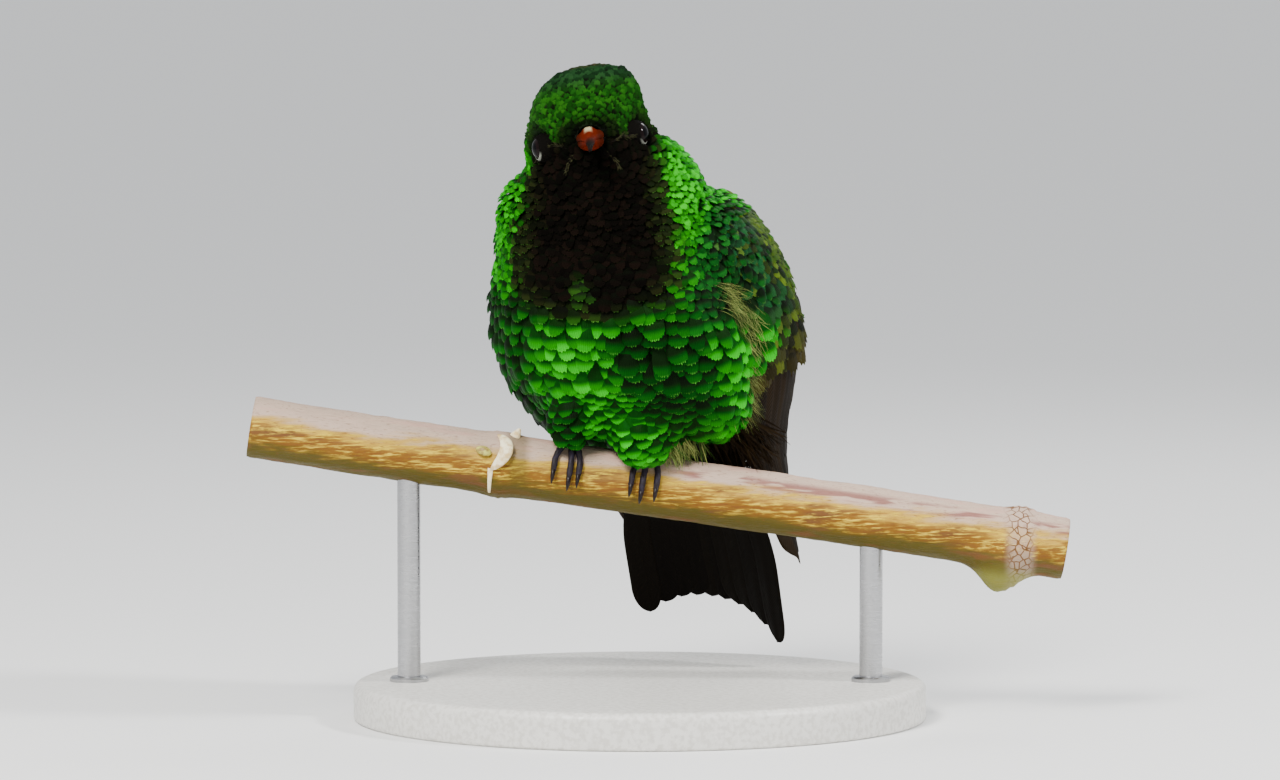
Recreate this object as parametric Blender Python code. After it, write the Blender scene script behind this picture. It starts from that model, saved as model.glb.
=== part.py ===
"""A perched hummingbird, life size, on a cut length of twig that a plain display stand holds.

World axes: X along the twig, to the bird's left; Y from the front to the back; Z up from the floor.
The bird's own frame has its belly towards -Y and its left side towards +X. It is turned by BODY_YAW
and moved to BIRD_AT, and the head is turned back again, so that the bill points along -Y.
Every length below is in millimetres, and MM turns it into Blender's metres.
"""

from math import cos, exp, pi, radians, sin, tan

import bmesh
import bpy
from mathutils import Matrix, Vector

MM = 0.001
GAP = 0.3
FINE_GAP = 0.1

# How the bird sits
BODY_YAW = 27.0
BIRD_AT = Vector((-1.6, 0.6, 0.0))
TAIL_ROLL = 8.7
HEAD_ROLL = 8.5

# Cross-sections of the plumage, from the crown down. Each holds the height of the section, its centre
# (side, back), its half width, its depth in front of and behind that centre, how square its back is,
# how far the flank draws in to make room for the wing and how far back that starts (-1 the front, 1 the
# back), and how far the section is turned to the bird's left and tilted with the head.
STATIONS = [
    # height side   back  width  front   rear  square recess start  turn  tilt
    (71.0, -0.45, -8.1, 0.60, 0.60, 0.60, 2.0, 0.0, 0.0, 27.0, 8.5),
    (70.3, -0.45, -8.1, 3.60, 4.10, 4.20, 2.0, 0.0, 0.0, 27.0, 8.5),
    (69.0, -0.45, -8.2, 5.10, 5.70, 5.80, 2.0, 0.0, 0.0, 27.0, 8.5),
    (67.0, -0.45, -8.2, 6.10, 6.50, 6.90, 2.1, 0.0, 0.0, 27.0, 8.5),
    (64.8, -0.40, -8.2, 6.30, 6.40, 7.60, 2.1, 0.0, 0.0, 27.0, 8.5),
    (63.0, -0.10, -7.9, 6.60, 6.40, 8.30, 2.1, 0.0, 0.0, 27.0, 7.5),
    (61.2, 0.90, -6.6, 7.70, 6.90, 8.90, 2.1, 0.0, 0.0, 25.0, 6.0),
    (58.7, 0.50, -5.5, 10.50, 8.30, 10.80, 2.1, 0.9, -0.4, 14.0, 4.0),
    (56.3, 0.10, -4.2, 12.60, 9.80, 12.00, 2.3, 2.2, -0.7, 6.0, 2.0),
    (54.0, 0.00, -3.1, 13.70, 11.20, 13.00, 2.6, 2.5, -0.8, 0.0, 0.0),
    (50.0, 0.00, -1.6, 14.60, 12.90, 13.80, 2.9, 2.6, -0.7, 0.0, 0.0),
    (45.0, 0.00, -0.8, 15.10, 13.20, 14.30, 3.0, 2.7, -0.5, 0.0, 0.0),
    (40.0, 0.00, 0.4, 15.00, 12.60, 14.00, 2.8, 2.5, -0.2, 0.0, 0.0),
    (36.3, 0.00, 2.2, 14.40, 11.80, 12.60, 2.5, 2.0, -0.2, 0.0, 0.0),
    (34.0, 0.00, 3.4, 13.60, 11.10, 11.30, 2.3, 1.6, -0.2, 0.0, 0.0),
    (32.0, 0.00, 4.3, 12.20, 10.10, 10.00, 2.2, 1.0, -0.2, 0.0, 0.0),
    (30.4, 0.00, 4.6, 10.00, 8.30, 9.40, 2.1, 0.4, -0.2, 0.0, 0.0),
    (29.3, 0.00, 4.9, 6.80, 5.60, 7.60, 2.0, 0.0, 0.0, 0.0, 0.0),
    (28.8, 0.00, 5.2, 2.40, 2.20, 3.40, 2.0, 0.0, 0.0, 0.0, 0.0),
]
RECESS_OVER = 0.8
AROUND = 28
HEAD_FROM = 59.8
NECK_FROM = 55.0
FACE_LENGTH = 1.6
FACE_SPREAD = 26.0
FACE_HEIGHT = 64.0
FACE_TALL = 2.4

# Head furniture
HEAD_AT = Vector((-5.6, -6.5, 64.8))
EYE_RADIUS = 1.5
EYE_AT = Vector((5.0, -3.35, -2.0))
BILL_BASE = Vector((0.1, -7.2, -1.4))
BILL_LENGTH = 15.2
BILL_DROP = 1.5
BILL_WIDTH = 2.5
BILL_DEPTH = 1.9
BILL_DECURVE = 0.25

# Plumage of the legs, and the undertail coverts
THIGHS = {
    "right": (Vector((-7.6, -2.4, 33.6)), Vector((3.1, 4.3, 4.7))),
    "left": (Vector((0.3, -3.4, 32.6)), Vector((4.4, 4.6, 5.6))),
}
UNDERTAIL_AT = Vector((1.4, 9.6, 30.6))
UNDERTAIL_SIZE = Vector((7.0, 4.7, 6.4))
UNDERTAIL_LEAN = 29.0

# Wings: the leading and trailing edge of the folded left wing as (side, back, height), from the
# shoulder to the tip, and how far the wing swells between them over its arm and over its long feathers.
LEADING = [(8.6, -4.0, 56.0), (11.4, -5.0, 51.5), (12.6, 0.4, 46.0), (12.6, 3.6, 39.0),
           (11.9, 5.8, 32.0), (11.2, 9.8, 25.4), (10.7, 15.8, 18.9), (10.1, 21.3, 13.9)]
TRAILING = [(8.3, 5.8, 57.4), (9.6, 11.0, 54.2), (11.3, 14.2, 49.3), (12.3, 15.5, 43.5),
            (11.9, 15.0, 36.7), (11.4, 16.4, 29.0), (10.8, 19.3, 22.2), (10.2, 22.5, 15.4)]
ARM_CROWN, VANE_CROWN = 2.3, 0.3
ARM_ENDS = 0.40
SECONDARIES_END = 0.64
SECONDARIES_FROM = 0.45
WING_CLEAR = 0.5
RIGHT_TUCK, TUCK_FROM, TUCK_TO = 2.3, 34.0, 14.0  # how far the right wing's tip goes in behind the tail
ARM_THICK = 1.4
VANE_THICK = 0.7

# Tail: ten feathers that hang behind the twig
TAIL_BASE = Vector((2.0, 9.6, 31.0))
TAIL_SWING = -1.0
TAIL_DROP = 61.0
TAIL_FEATHERS = 10
TAIL_ROOT_WIDTH = 3.8
TAIL_TIP_WIDTH = 9.4
TAIL_WIDEST = 16.5
TAIL_LENGTH = 22.7
TAIL_FORK = 2.3
TAIL_FORK_POWER = 2.2
TAIL_PEAK = 0.84
TAIL_CORNER = 2.6
TAIL_SCALLOP = 0.8
TAIL_DISH = 2.6
TAIL_THICK = 0.7
TAIL_ROOT_SWELL = 0.9

# Feet, by their distance along the twig, and where each front toe goes from there
FEET = {
    "right": (-8.0, (-1.4, 0.35, 1.3), 93.0),
    "left": (0.6, (-1.6, -0.4, 1.1), 99.0),
}
TOE_RADIUS = 0.40
TOE_TAPER = 0.22
TOE_LIFT = 0.06
TOE_STEPS = 6
TOE_LENGTHS = (0.90, 1.0, 0.92)
KNUCKLE = 0.10
HIND_TOE_REACH = -90.0
HIND_TOE_SHIFT = 0.15
PAD_SIZE = (1.5, 1.0, 0.62)
PAD_RADIUS = 0.54
CLAW_LENGTH = 1.2
CLAW_RADII = (0.26, 0.25, 0.21, 0.15, 0.07)
CLAW_HOOK, CLAW_ARCH = 0.42, 0.24
LEG_RADIUS = 0.55
LEG_HEIGHT = 3.6
ANKLE_LIFT = 0.62

# Twig and stand
TWIG_FROM, TWIG_TO = -42.0, 46.0
TWIG_RADIUS = 3.44
TWIG_MIDDLE = Vector((-2.16, 0.0, 25.7))
TWIG_SLOPE = 0.157
LEFT_JOINT, RIGHT_JOINT = -15.1, 41.0
BULGE_AT, BULGE = 39.2, 2.4
BULGE_HALF_LENGTH, BULGE_SPREAD = 2.3, 52.0
LEFT_SWELL, RIGHT_SWELL = 0.30, 0.45
TWIG_BEND, TWIG_BEND_OVER = 0.35, 22.0
SADDLE = 1.1
BASE_RADIUS = 31.0
BASE_THICK = 4.0
ROD_RADIUS = 1.25
ROD_AT = (-25.0, 25.0)
SOCKET = 1.5


def smoothstep(low, high, value):
    """0 below low, 1 above high, and a smooth rise between."""
    t = min(max((value - low) / (high - low), 0.0), 1.0)
    return t * t * (3.0 - 2.0 * t)


def along(points, place):
    """A point at place 0 to 1 of a smooth curve through control points."""
    rows = [Vector(point) for point in points]
    last = len(rows) - 1
    step = min(int(place * last), last - 1)
    t = place * last - step
    start, end = rows[step], rows[step + 1]
    before = rows[step - 1] if step > 0 else start * 2.0 - end
    after = rows[step + 2] if step + 2 <= last else end * 2.0 - start
    slope_in, slope_out = (end - before) / 2.0, (after - start) / 2.0
    return (start * (1 - t) ** 2 * (1 + 2 * t) + slope_in * t * (1 - t) ** 2
            + end * t * t * (3 - 2 * t) - slope_out * t * t * (1 - t))


def station(height):
    """The section values at a height, on a smooth curve through the STATIONS."""
    last = len(STATIONS) - 2
    low = next((i for i in range(last) if STATIONS[i + 1][0] <= height), last)
    rows = [STATIONS[min(max(low + i, 0), last + 1)] for i in (-1, 0, 1, 2)]
    span = rows[2][0] - rows[1][0]
    t = (height - rows[1][0]) / span
    values = []
    for one in range(1, len(rows[0])):
        before, start, end, after = (row[one] for row in rows)
        slope_in = (end - before) / (rows[2][0] - rows[0][0]) * span
        slope_out = (after - start) / (rows[3][0] - rows[1][0]) * span
        values.append(start * (1 - t) ** 2 * (1 + 2 * t) + slope_in * t * (1 - t) ** 2
                      + end * t * t * (3 - 2 * t) - slope_out * t * t * (1 - t))
    return values


def section_point(height, angle, grow=0.0):
    """A point of the plumage's outline in the bird's frame. Angle 0 is the left side and 90 the back."""
    side, back, width, front, rear, square, recess, start, turn, tilt = station(height)
    across, depth = cos(angle), sin(angle)
    power = 2.0 / (square if depth > 0 else 2.0)
    width = max(width - recess * smoothstep(start, start + RECESS_OVER, depth), 0.3) + grow
    reach = (rear if depth > 0 else front) + grow
    x = width * abs(across) ** power * (1 if across > 0 else -1)
    y = reach * abs(depth) ** power * (1 if depth > 0 else -1)
    off_face = (angle / pi * 180.0 + 90.0 + 180.0) % 360.0 - 180.0
    face = exp(-(off_face / FACE_SPREAD) ** 2) * exp(-((height - FACE_HEIGHT) / FACE_TALL) ** 2)
    y -= FACE_LENGTH * face
    spot = Matrix.Rotation(radians(-tilt), 3, "Y") @ Vector((x, y, 0.0))
    return Matrix.Rotation(radians(turn), 3, "Z") @ spot + Vector((side, back, height))


def section(height, grow=0.0):
    return [section_point(height, 2 * pi * i / AROUND, grow) for i in range(AROUND)]


def flank(back, height):
    """Half width of the body at a place between its front and back, for a wing to lie on."""
    if not STATIONS[-1][0] < height < STATIONS[0][0]:
        return 0.0
    ring = section(height)
    widths = [0.0]
    for here, there in zip(ring, ring[1:] + ring[:1]):
        if (here.y - back) * (there.y - back) <= 0 and here.y != there.y:
            widths.append(abs(here.lerp(there, (back - here.y) / (there.y - here.y)).x))
    return max(widths)


def finish(colour, roughness, metallic=0.0):
    """A plain Principled material."""
    found = bpy.data.materials.new("finish")
    found.use_nodes = True
    shader = found.node_tree.nodes["Principled BSDF"]
    shader.inputs["Base Color"].default_value = (*colour, 1.0)
    shader.inputs["Roughness"].default_value = roughness
    shader.inputs["Metallic"].default_value = metallic
    return found


def add(name, shape, material=None, world=Matrix.Identity(4)):
    """Closes a bmesh in millimetres into an object in metres. One without a material is a cutter."""
    bmesh.ops.transform(shape, matrix=Matrix.Scale(MM, 4) @ world, verts=shape.verts)
    bmesh.ops.remove_doubles(shape, verts=shape.verts, dist=1e-7)
    bmesh.ops.recalc_face_normals(shape, faces=shape.faces)
    mesh = bpy.data.meshes.new(name)
    shape.to_mesh(mesh)
    shape.free()
    mesh.shade_smooth()
    made = bpy.data.objects.new(name, mesh)
    bpy.context.scene.collection.objects.link(made)
    if material:
        mesh.materials.append(material)
    else:
        made.hide_render = True
        made.display_type = "WIRE"
    return made


def combine(target, other, operation="DIFFERENCE"):
    modifier = target.modifiers.new(other.name, "BOOLEAN")
    modifier.operation = operation
    modifier.solver = "EXACT"
    modifier.object = other


def loft(rings, shape=None):
    """Closed skin over rings of equally many points, with a fan at each end."""
    shape = shape or bmesh.new()
    rows = [[shape.verts.new(point) for point in ring] for ring in rings]
    count = len(rows[0])
    for upper, lower in zip(rows, rows[1:]):
        for i in range(count):
            j = (i + 1) % count
            shape.faces.new((upper[i], upper[j], lower[j], lower[i]))
    for row in (rows[0], rows[-1]):
        middle = shape.verts.new(sum((vert.co for vert in row), Vector()) / count)
        for i in range(count):
            shape.faces.new((row[i], row[(i + 1) % count], middle))
    return shape


def plate(rows, columns, faces):
    """Closed plate. faces(row, column), both 0 to 1, gives a point on its outer and inner face."""
    shape = bmesh.new()
    grid = [[[shape.verts.new(p) for p in faces(i / rows, j / columns)] for j in range(columns + 1)]
            for i in range(rows + 1)]
    for i in range(rows):
        for j in range(columns):
            corners = (grid[i][j], grid[i][j + 1], grid[i + 1][j + 1], grid[i + 1][j])
            shape.faces.new([pair[0] for pair in corners])
            shape.faces.new([pair[1] for pair in reversed(corners)])
    edge = [grid[0][j] for j in range(columns)] + [grid[i][columns] for i in range(rows)]
    edge += [grid[rows][j] for j in range(columns, 0, -1)] + [grid[i][0] for i in range(rows, 0, -1)]
    for here, there in zip(edge, edge[1:] + edge[:1]):
        shape.faces.new((here[0], here[1], there[1], there[0]))
    return shape


def tube(route, radii, sides=8, shape=None):
    """Tapered tube along a route, closed at both ends."""
    rings = []
    normal = None
    for i, (point, radius) in enumerate(zip(route, radii)):
        ahead = (route[min(i + 1, len(route) - 1)] - route[max(i - 1, 0)]).normalized()
        normal = ahead.orthogonal() if normal is None else normal - ahead * normal.dot(ahead)
        normal.normalize()
        other = ahead.cross(normal)
        turns = [2 * pi * k / sides for k in range(sides)]
        rings.append([point + (normal * cos(a) + other * sin(a)) * radius for a in turns])
    return loft(rings, shape)


def ellipsoid(centre, size, lean=0.0, grow=0.0):
    """Rounded lump, leaning its top forward by lean degrees."""
    shape = bmesh.new()
    bmesh.ops.create_uvsphere(shape, u_segments=14, v_segments=8, radius=1.0)
    scale = Matrix.Diagonal((size.x + grow, size.y + grow, size.z + grow, 1.0))
    turn = Matrix.Rotation(radians(lean), 4, "X")
    bmesh.ops.transform(shape, matrix=Matrix.Translation(centre) @ turn @ scale, verts=shape.verts)
    return shape


def rod(centre_x, radius, low, high):
    """Upright round rod."""
    shape = bmesh.new()
    bmesh.ops.create_cone(shape, cap_ends=True, segments=16, radius1=radius, radius2=radius,
                          depth=high - low)
    place = Matrix.Translation((centre_x, 0.0, (low + high) / 2))
    bmesh.ops.transform(shape, matrix=place, verts=shape.verts)
    return shape


# Twig


def twig_centre(x):
    """Centre line of the twig, which bends a little at its joints."""
    bend = TWIG_BEND * sin((x - TWIG_MIDDLE.x) / TWIG_BEND_OVER)
    return Vector((x, 0.0, TWIG_MIDDLE.z - TWIG_SLOPE * (x - TWIG_MIDDLE.x) + bend))


def twig_radius(x, angle):
    """Angle 0 is the front of the twig and 90 its top."""
    swell = LEFT_SWELL * exp(-((x - LEFT_JOINT) / 1.6) ** 2)
    swell += RIGHT_SWELL * exp(-((x - RIGHT_JOINT) / 1.5) ** 2)
    below = (angle / pi * 180.0 + 90.0 + 180.0) % 360.0 - 180.0
    bulge = BULGE * exp(-((x - BULGE_AT) / BULGE_HALF_LENGTH) ** 2 - (below / BULGE_SPREAD) ** 2)
    return TWIG_RADIUS + swell + bulge


def twig_point(x, angle, lift=0.0):
    reach = twig_radius(x, angle) + lift
    upright = Vector((TWIG_SLOPE, 0.0, 1.0)).normalized()
    return twig_centre(x) + Vector((0.0, -1.0, 0.0)) * reach * cos(angle) + upright * reach * sin(angle)


def twig_rings(marks, lift=0.0, sides=20):
    return [[twig_point(x, 2 * pi * k / sides, lift) for k in range(sides)] for x in marks]


def whole_twig():
    """Rings close together only where the twig swells."""
    return twig_rings([TWIG_FROM, -34, -26, -18, LEFT_JOINT - 1.2, LEFT_JOINT, LEFT_JOINT + 1.2, -12, -4, 4,
                       12, 20, 28, 34, 36.6, 38, BULGE_AT, RIGHT_JOINT - 0.8, RIGHT_JOINT,
                       RIGHT_JOINT + 1.2, 43.5, TWIG_TO])


# Flight feathers


def wing_crown(place, chord):
    """How far the wing's outside swells between its edges."""
    swell = ARM_CROWN + (VANE_CROWN - ARM_CROWN) * smoothstep(0.35, 0.72, place)
    return swell * smoothstep(-0.08, 0.16, place) * sin(pi * chord)


def wing_point(place, chord, face, thick, layer=0.0):
    """A point of the folded left wing. Face 1 is its outside and 0 the side that lies on the body."""
    spot = along(LEADING, place).lerp(along(TRAILING, place), chord)
    swell = wing_crown(place, chord)
    edge = min(1.0, 5 * chord + 0.35, 5 * (1 - chord) + 0.35)
    inner = max(spot.x + 0.5 * swell - thick / 2, flank(spot.y, spot.z) + WING_CLEAR) + layer
    return Vector((inner + face * (thick * edge + 0.5 * swell), spot.y, spot.z))


def wing_plates():
    """The three pieces of the left wing: what the coverts wrap, the secondaries and the primaries."""

    def arm(row, column):
        place = 0.005 + (ARM_ENDS - 0.005) * row
        thick = ARM_THICK * (0.45 + 0.55 * smoothstep(0.0, 0.25, row))
        return [wing_point(place, column, face, thick) for face in (1, 0)]

    def primaries(row, column):
        place = ARM_ENDS + 0.008 + (0.992 - ARM_ENDS) * row
        place -= 0.02 * smoothstep(0.93, 1.0, place) * (2 * column - 1) ** 2
        return [wing_point(place, column, face, VANE_THICK) for face in (1, 0)]

    def secondaries(row, column):
        ends = SECONDARIES_END - 0.07 * (1 - column)
        place = ARM_ENDS + 0.008 + (ends - ARM_ENDS - 0.008) * row
        chord = SECONDARIES_FROM + (1.0 - SECONDARIES_FROM) * column
        swell = 0.5 * wing_crown(place, chord)
        layer = VANE_THICK + swell + FINE_GAP
        outer, inner = [wing_point(place, chord, face, VANE_THICK, layer) for face in (1, 0)]
        return [outer - Vector((swell, 0, 0)), inner]

    return {
        "wing_arm": plate(10, 6, arm),
        "wing_secondaries": plate(5, 3, secondaries),
        "wing_primaries": plate(15, 4, primaries),
    }


def tail_point(across, place, face, grow=0.0):
    """A point of the tail: across from -1 to 1, place from root to tip, face 0 below and 1 above."""
    feather = (across + 1) / 2 * TAIL_FEATHERS
    off_shaft = 2 * (feather - int(min(feather, TAIL_FEATHERS - 1e-6))) - 1
    length = TAIL_LENGTH + TAIL_FORK * min(abs(across) / TAIL_PEAK, 1.0) ** TAIL_FORK_POWER
    length -= TAIL_CORNER * max(abs(across) - TAIL_PEAK, 0.0) ** 2 / (1 - TAIL_PEAK) ** 2
    length -= TAIL_SCALLOP * abs(off_shaft) ** 3
    down = place * (length + grow) - grow
    spread = sin(pi / 2 * min(max(down / TAIL_WIDEST, 0.0), 1.0))
    side = across * (TAIL_ROOT_WIDTH + (TAIL_TIP_WIDTH - TAIL_ROOT_WIDTH) * spread + grow)
    dish = TAIL_DISH * across * across * down / TAIL_LENGTH
    drop = radians(TAIL_DROP)
    ahead, below = Vector((0, cos(drop), -sin(drop))), Vector((0, -sin(drop), -cos(drop)))
    thick = TAIL_THICK + TAIL_ROOT_SWELL * (1 - smoothstep(0.0, 0.3, place)) + 2 * grow
    spot = TAIL_BASE + ahead * down + below * (dish - thick * (face - 0.5))
    roll = -side * tan(radians(TAIL_ROLL)) * down / TAIL_LENGTH
    return spot + Vector((side + TAIL_SWING * down / TAIL_LENGTH, 0, roll))


def tail_plate(grow=0.0, rows=6, columns=3 * TAIL_FEATHERS):
    def both(row, column):
        return [tail_point(2 * column - 1, row, face, grow) for face in (1, 0)]

    return plate(rows, columns, both)


# Bill and eyes, in the head's frame


def bill_ring(place, upper, grow=0.0):
    """One section of a mandible, place 0 at the face to 1 at the tip."""
    taper = 1.0 - 0.55 * smoothstep(0.0, 0.28, place) - 0.29 * smoothstep(0.15, 1.0, place)
    width = BILL_WIDTH / 2 * taper + grow
    depth = BILL_DEPTH * taper * (0.56 if upper else 0.44) + grow
    seam = (FINE_GAP / 2 if not grow else 0.0) * (1 if upper else -1)
    line = BILL_BASE + Vector((0, -1, 0)) * BILL_LENGTH * place
    line.z -= BILL_DECURVE * place * place * (BILL_LENGTH / 10)
    points = []
    for k in range(7):
        angle = pi * k / 6
        rise = depth * sin(angle) * (1 if upper else -1)
        points.append(line + Vector((width * cos(angle), 0, rise + seam)))
    return points


def mandible(upper, start=-0.1):
    marks = [start, 0.0, 0.07, 0.14, 0.22, 0.32, 0.5, 0.7, 0.9, 1.0]
    return loft([bill_ring(place, upper) for place in marks])


def bill_socket():
    rings = []
    for place in (-0.115, 0.0, 0.1):
        top, bottom = bill_ring(place, True, FINE_GAP), bill_ring(place, False, FINE_GAP)
        rings.append(top + bottom[-2:0:-1])
    return loft(rings)


# Feet


def toe_route(foot_x, shift, reach, start=92.0):
    """Route of a toe round the twig, from its top towards the front (reach > 90 goes below)."""
    steps = TOE_STEPS
    points = []
    for i in range(steps + 1):
        t = i / steps
        angle = radians(start - (start - 90 + reach) * t)
        x = foot_x + shift * smoothstep(0.0, 0.55, t)
        knuckle = KNUCKLE * sin(3 * pi * t) ** 2
        points.append(twig_point(x, angle, TOE_RADIUS + TOE_LIFT + knuckle))
    return points


def foot_toes(side):
    """Routes of the three front toes and the hind toe of one foot."""
    foot_x, shifts, reach = FEET[side]
    routes = [toe_route(foot_x, shift, reach * part) for shift, part in zip(shifts, TOE_LENGTHS)]
    routes.append(toe_route(foot_x, HIND_TOE_SHIFT, HIND_TOE_REACH, start=88.0))
    return routes


def claw_route(toe):
    """The claw hooks on from the toe's end to the bark."""
    end = toe[-1]
    way = (toe[-1] - toe[-2]).normalized()
    inward = (twig_centre(end.x) - end).normalized()
    start = end + way * (TOE_RADIUS + 0.02)
    return [start + way * CLAW_LENGTH * t + inward * (CLAW_HOOK * t * t - CLAW_ARCH * sin(pi * t))
            for t in (0.0, 0.25, 0.5, 0.75, 1.0)]


def build():
    for old in list(bpy.data.objects):
        bpy.data.objects.remove(old)

    plumage = finish((0.02, 0.20, 0.03), 0.35, 0.4)
    dark = finish((0.012, 0.010, 0.008), 0.45)
    vanes = finish((0.03, 0.02, 0.012), 0.45)
    horn = finish((0.25, 0.03, 0.01), 0.35)
    scale = finish((0.03, 0.022, 0.03), 0.45)
    glass = finish((0.006, 0.005, 0.005), 0.05)
    bark = finish((0.50, 0.38, 0.20), 0.7)
    wood = finish((0.72, 0.70, 0.66), 0.5)
    steel = finish((0.45, 0.45, 0.46), 0.3, 1.0)

    bird = Matrix.Translation(BIRD_AT) @ Matrix.Rotation(radians(-BODY_YAW), 4, "Z")
    mirror = Matrix.Diagonal((-1, 1, 1, 1))
    head_frame = Matrix.Translation(HEAD_AT) @ Matrix.Rotation(radians(-HEAD_ROLL), 4, "Y")
    bill_frame = head_frame @ Matrix.Rotation(radians(BILL_DROP), 4, "X")

    # Head, neck and trunk, parted by thin level cuts
    top, bottom = STATIONS[0][0], STATIONS[-1][0]
    head_rows = [top, 70.7, 70.3, 69.7, 69.0, 68.0, 67.0, 65.9, 64.8, 63.7, 62.7, 61.7, 60.7, HEAD_FROM + GAP / 2]
    neck_rows = [HEAD_FROM - GAP / 2, 58.9, 58.0, 57.1, 56.2, NECK_FROM + GAP / 2]
    trunk_rows = [NECK_FROM - GAP / 2, 52.5, 50.0, 47.0, 44.0, 41.0, 38.0, 35.5, 33.5, 32.0, 30.8, 29.8,
                  29.2, bottom]
    head = add("head", loft([section(h) for h in head_rows]), plumage, bird)
    add("neck", loft([section(h) for h in neck_rows]), plumage, bird)
    trunk = add("trunk", loft([section(h) for h in trunk_rows]), plumage, bird)
    undertail = ellipsoid(UNDERTAIL_AT, UNDERTAIL_SIZE, UNDERTAIL_LEAN)
    combine(trunk, add("undertail_form", undertail, None, bird), "UNION")

    # Eyes in their sockets, and the bill
    for side, sign in (("left", 1), ("right", -1)):
        place = head_frame @ Matrix.Translation((EYE_AT.x * sign, EYE_AT.y, EYE_AT.z))
        for name, radius, look in ((f"eye_{side}", EYE_RADIUS, glass),
                                   (f"eye_{side}_socket", EYE_RADIUS + FINE_GAP, None)):
            ball = bmesh.new()
            bmesh.ops.create_uvsphere(ball, u_segments=12, v_segments=8, radius=radius)
            made = add(name, ball, look, place)
        combine(head, made)
    add("bill_upper", mandible(True), horn, bill_frame)
    add("bill_lower", mandible(False), horn, bill_frame)
    combine(head, add("bill_socket", bill_socket(), None, bill_frame))

    # Wings and tail
    for side, flip in (("left", Matrix.Identity(4)), ("right", mirror)):
        for name, shape in wing_plates().items():
            if side == "right":
                for vert in shape.verts:
                    vert.co.x -= RIGHT_TUCK * smoothstep(TUCK_FROM, TUCK_TO, vert.co.z)
            add(f"{name}_{side}", shape, plumage if name == "wing_arm" else vanes, bird @ flip)
    add("tail", tail_plate(), dark, bird)
    combine(trunk, add("tail_room", tail_plate(GAP, 4, 8), None, bird))

    # Twig, with room for it under the belly
    twig = add("perch", loft(whole_twig()), bark)
    saddle = add("perch_room", loft(twig_rings((-20, -8, 4, 16), SADDLE)), None)
    combine(trunk, saddle)

    # Legs and feet
    for side, (centre, size) in THIGHS.items():
        combine(trunk, add(f"thigh_{side}_room", ellipsoid(centre, size, 0.0, GAP)))
        thigh = add(f"thigh_{side}", ellipsoid(centre, size), plumage)
        combine(thigh, saddle)
        foot_x = FEET[side][0]
        ankle = twig_point(foot_x, pi / 2, TOE_RADIUS)
        for name, grow, look in ((f"leg_{side}", 0.0, scale), (f"leg_{side}_room", FINE_GAP, None)):
            start = ankle + Vector((0, 0, ANKLE_LIFT - grow * 2))
            route = [start.lerp(ankle + Vector((0, 0.2, LEG_HEIGHT + grow)), t) for t in (0, 0.5, 1)]
            radii = [LEG_RADIUS + grow] * 3
            made = add(name, tube(route, radii, 10), look)
        combine(thigh, made)
        combine(trunk, made)
        toes = foot_toes(side)
        pad = bmesh.new()
        bmesh.ops.create_uvsphere(pad, u_segments=10, v_segments=6, radius=PAD_RADIUS)
        squash = Matrix.Translation(ankle) @ Matrix.Diagonal((*PAD_SIZE, 1.0))
        foot = add(f"foot_{side}", pad, scale, squash)
        for number, toe in enumerate(toes, 1):
            shrink = [TOE_RADIUS * (1 - TOE_TAPER * i / TOE_STEPS) for i in range(TOE_STEPS + 1)]
            body = add(f"toe_{side}_{number}_form", tube(toe, shrink, 6))
            combine(foot, body, "UNION")
            hook = claw_route(toe)
            add(f"claw_{side}_{number}", tube(hook, CLAW_RADII, 6), dark)

    # Stand
    disc = bmesh.new()
    bmesh.ops.create_cone(disc, cap_ends=True, segments=48, radius1=BASE_RADIUS, radius2=BASE_RADIUS,
                          depth=BASE_THICK)
    rim = [edge for edge in disc.edges if edge.calc_face_angle(0) > 1.0 and edge.verts[0].co.z > 0]
    bmesh.ops.bevel(disc, geom=rim, offset=0.8, segments=2, profile=0.5, affect="EDGES", material=-1)
    base = add("stand_base", disc, wood, Matrix.Translation((0, 0, BASE_THICK / 2)))
    for side, x in zip(("right", "left"), ROD_AT):
        low, high = BASE_THICK - SOCKET, twig_point(x, -pi / 2).z + SOCKET
        add(f"stand_rod_{side}", rod(x, ROD_RADIUS, low, high), steel)
        room = add(f"stand_rod_{side}_room", rod(x, ROD_RADIUS + FINE_GAP, low - FINE_GAP, high + FINE_GAP))
        combine(base, room)
        combine(twig, room)


build()
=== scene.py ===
"""Looks of the perched hummingbird: skin, plumage, flight feathers, bill, eyes, feet, bark and stand.

Lengths here are millimetres, and MM turns them into the frame's metres. X runs along the twig to the
bird's left, Y from front to back and Z up. The bird's own frame is turned by BODY_YAW and moved to BIRD_AT.
"""

from math import cos, exp, pi, radians, sin

import bmesh
import bpy
import numpy as np
from mathutils import Matrix, Vector, noise
from mathutils.bvhtree import BVHTree


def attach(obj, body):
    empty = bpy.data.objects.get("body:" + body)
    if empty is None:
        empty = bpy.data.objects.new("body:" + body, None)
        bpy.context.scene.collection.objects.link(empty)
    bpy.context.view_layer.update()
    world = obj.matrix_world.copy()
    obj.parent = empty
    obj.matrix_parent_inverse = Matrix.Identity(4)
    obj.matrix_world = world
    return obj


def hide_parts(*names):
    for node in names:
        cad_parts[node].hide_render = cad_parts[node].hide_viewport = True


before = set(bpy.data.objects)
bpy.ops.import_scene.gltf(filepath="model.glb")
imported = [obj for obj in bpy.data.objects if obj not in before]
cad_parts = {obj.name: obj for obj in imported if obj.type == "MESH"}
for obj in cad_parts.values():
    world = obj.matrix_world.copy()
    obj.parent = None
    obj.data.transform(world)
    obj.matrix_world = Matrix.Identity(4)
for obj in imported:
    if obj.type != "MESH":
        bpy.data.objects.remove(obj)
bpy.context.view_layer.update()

MM = 0.001

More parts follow.
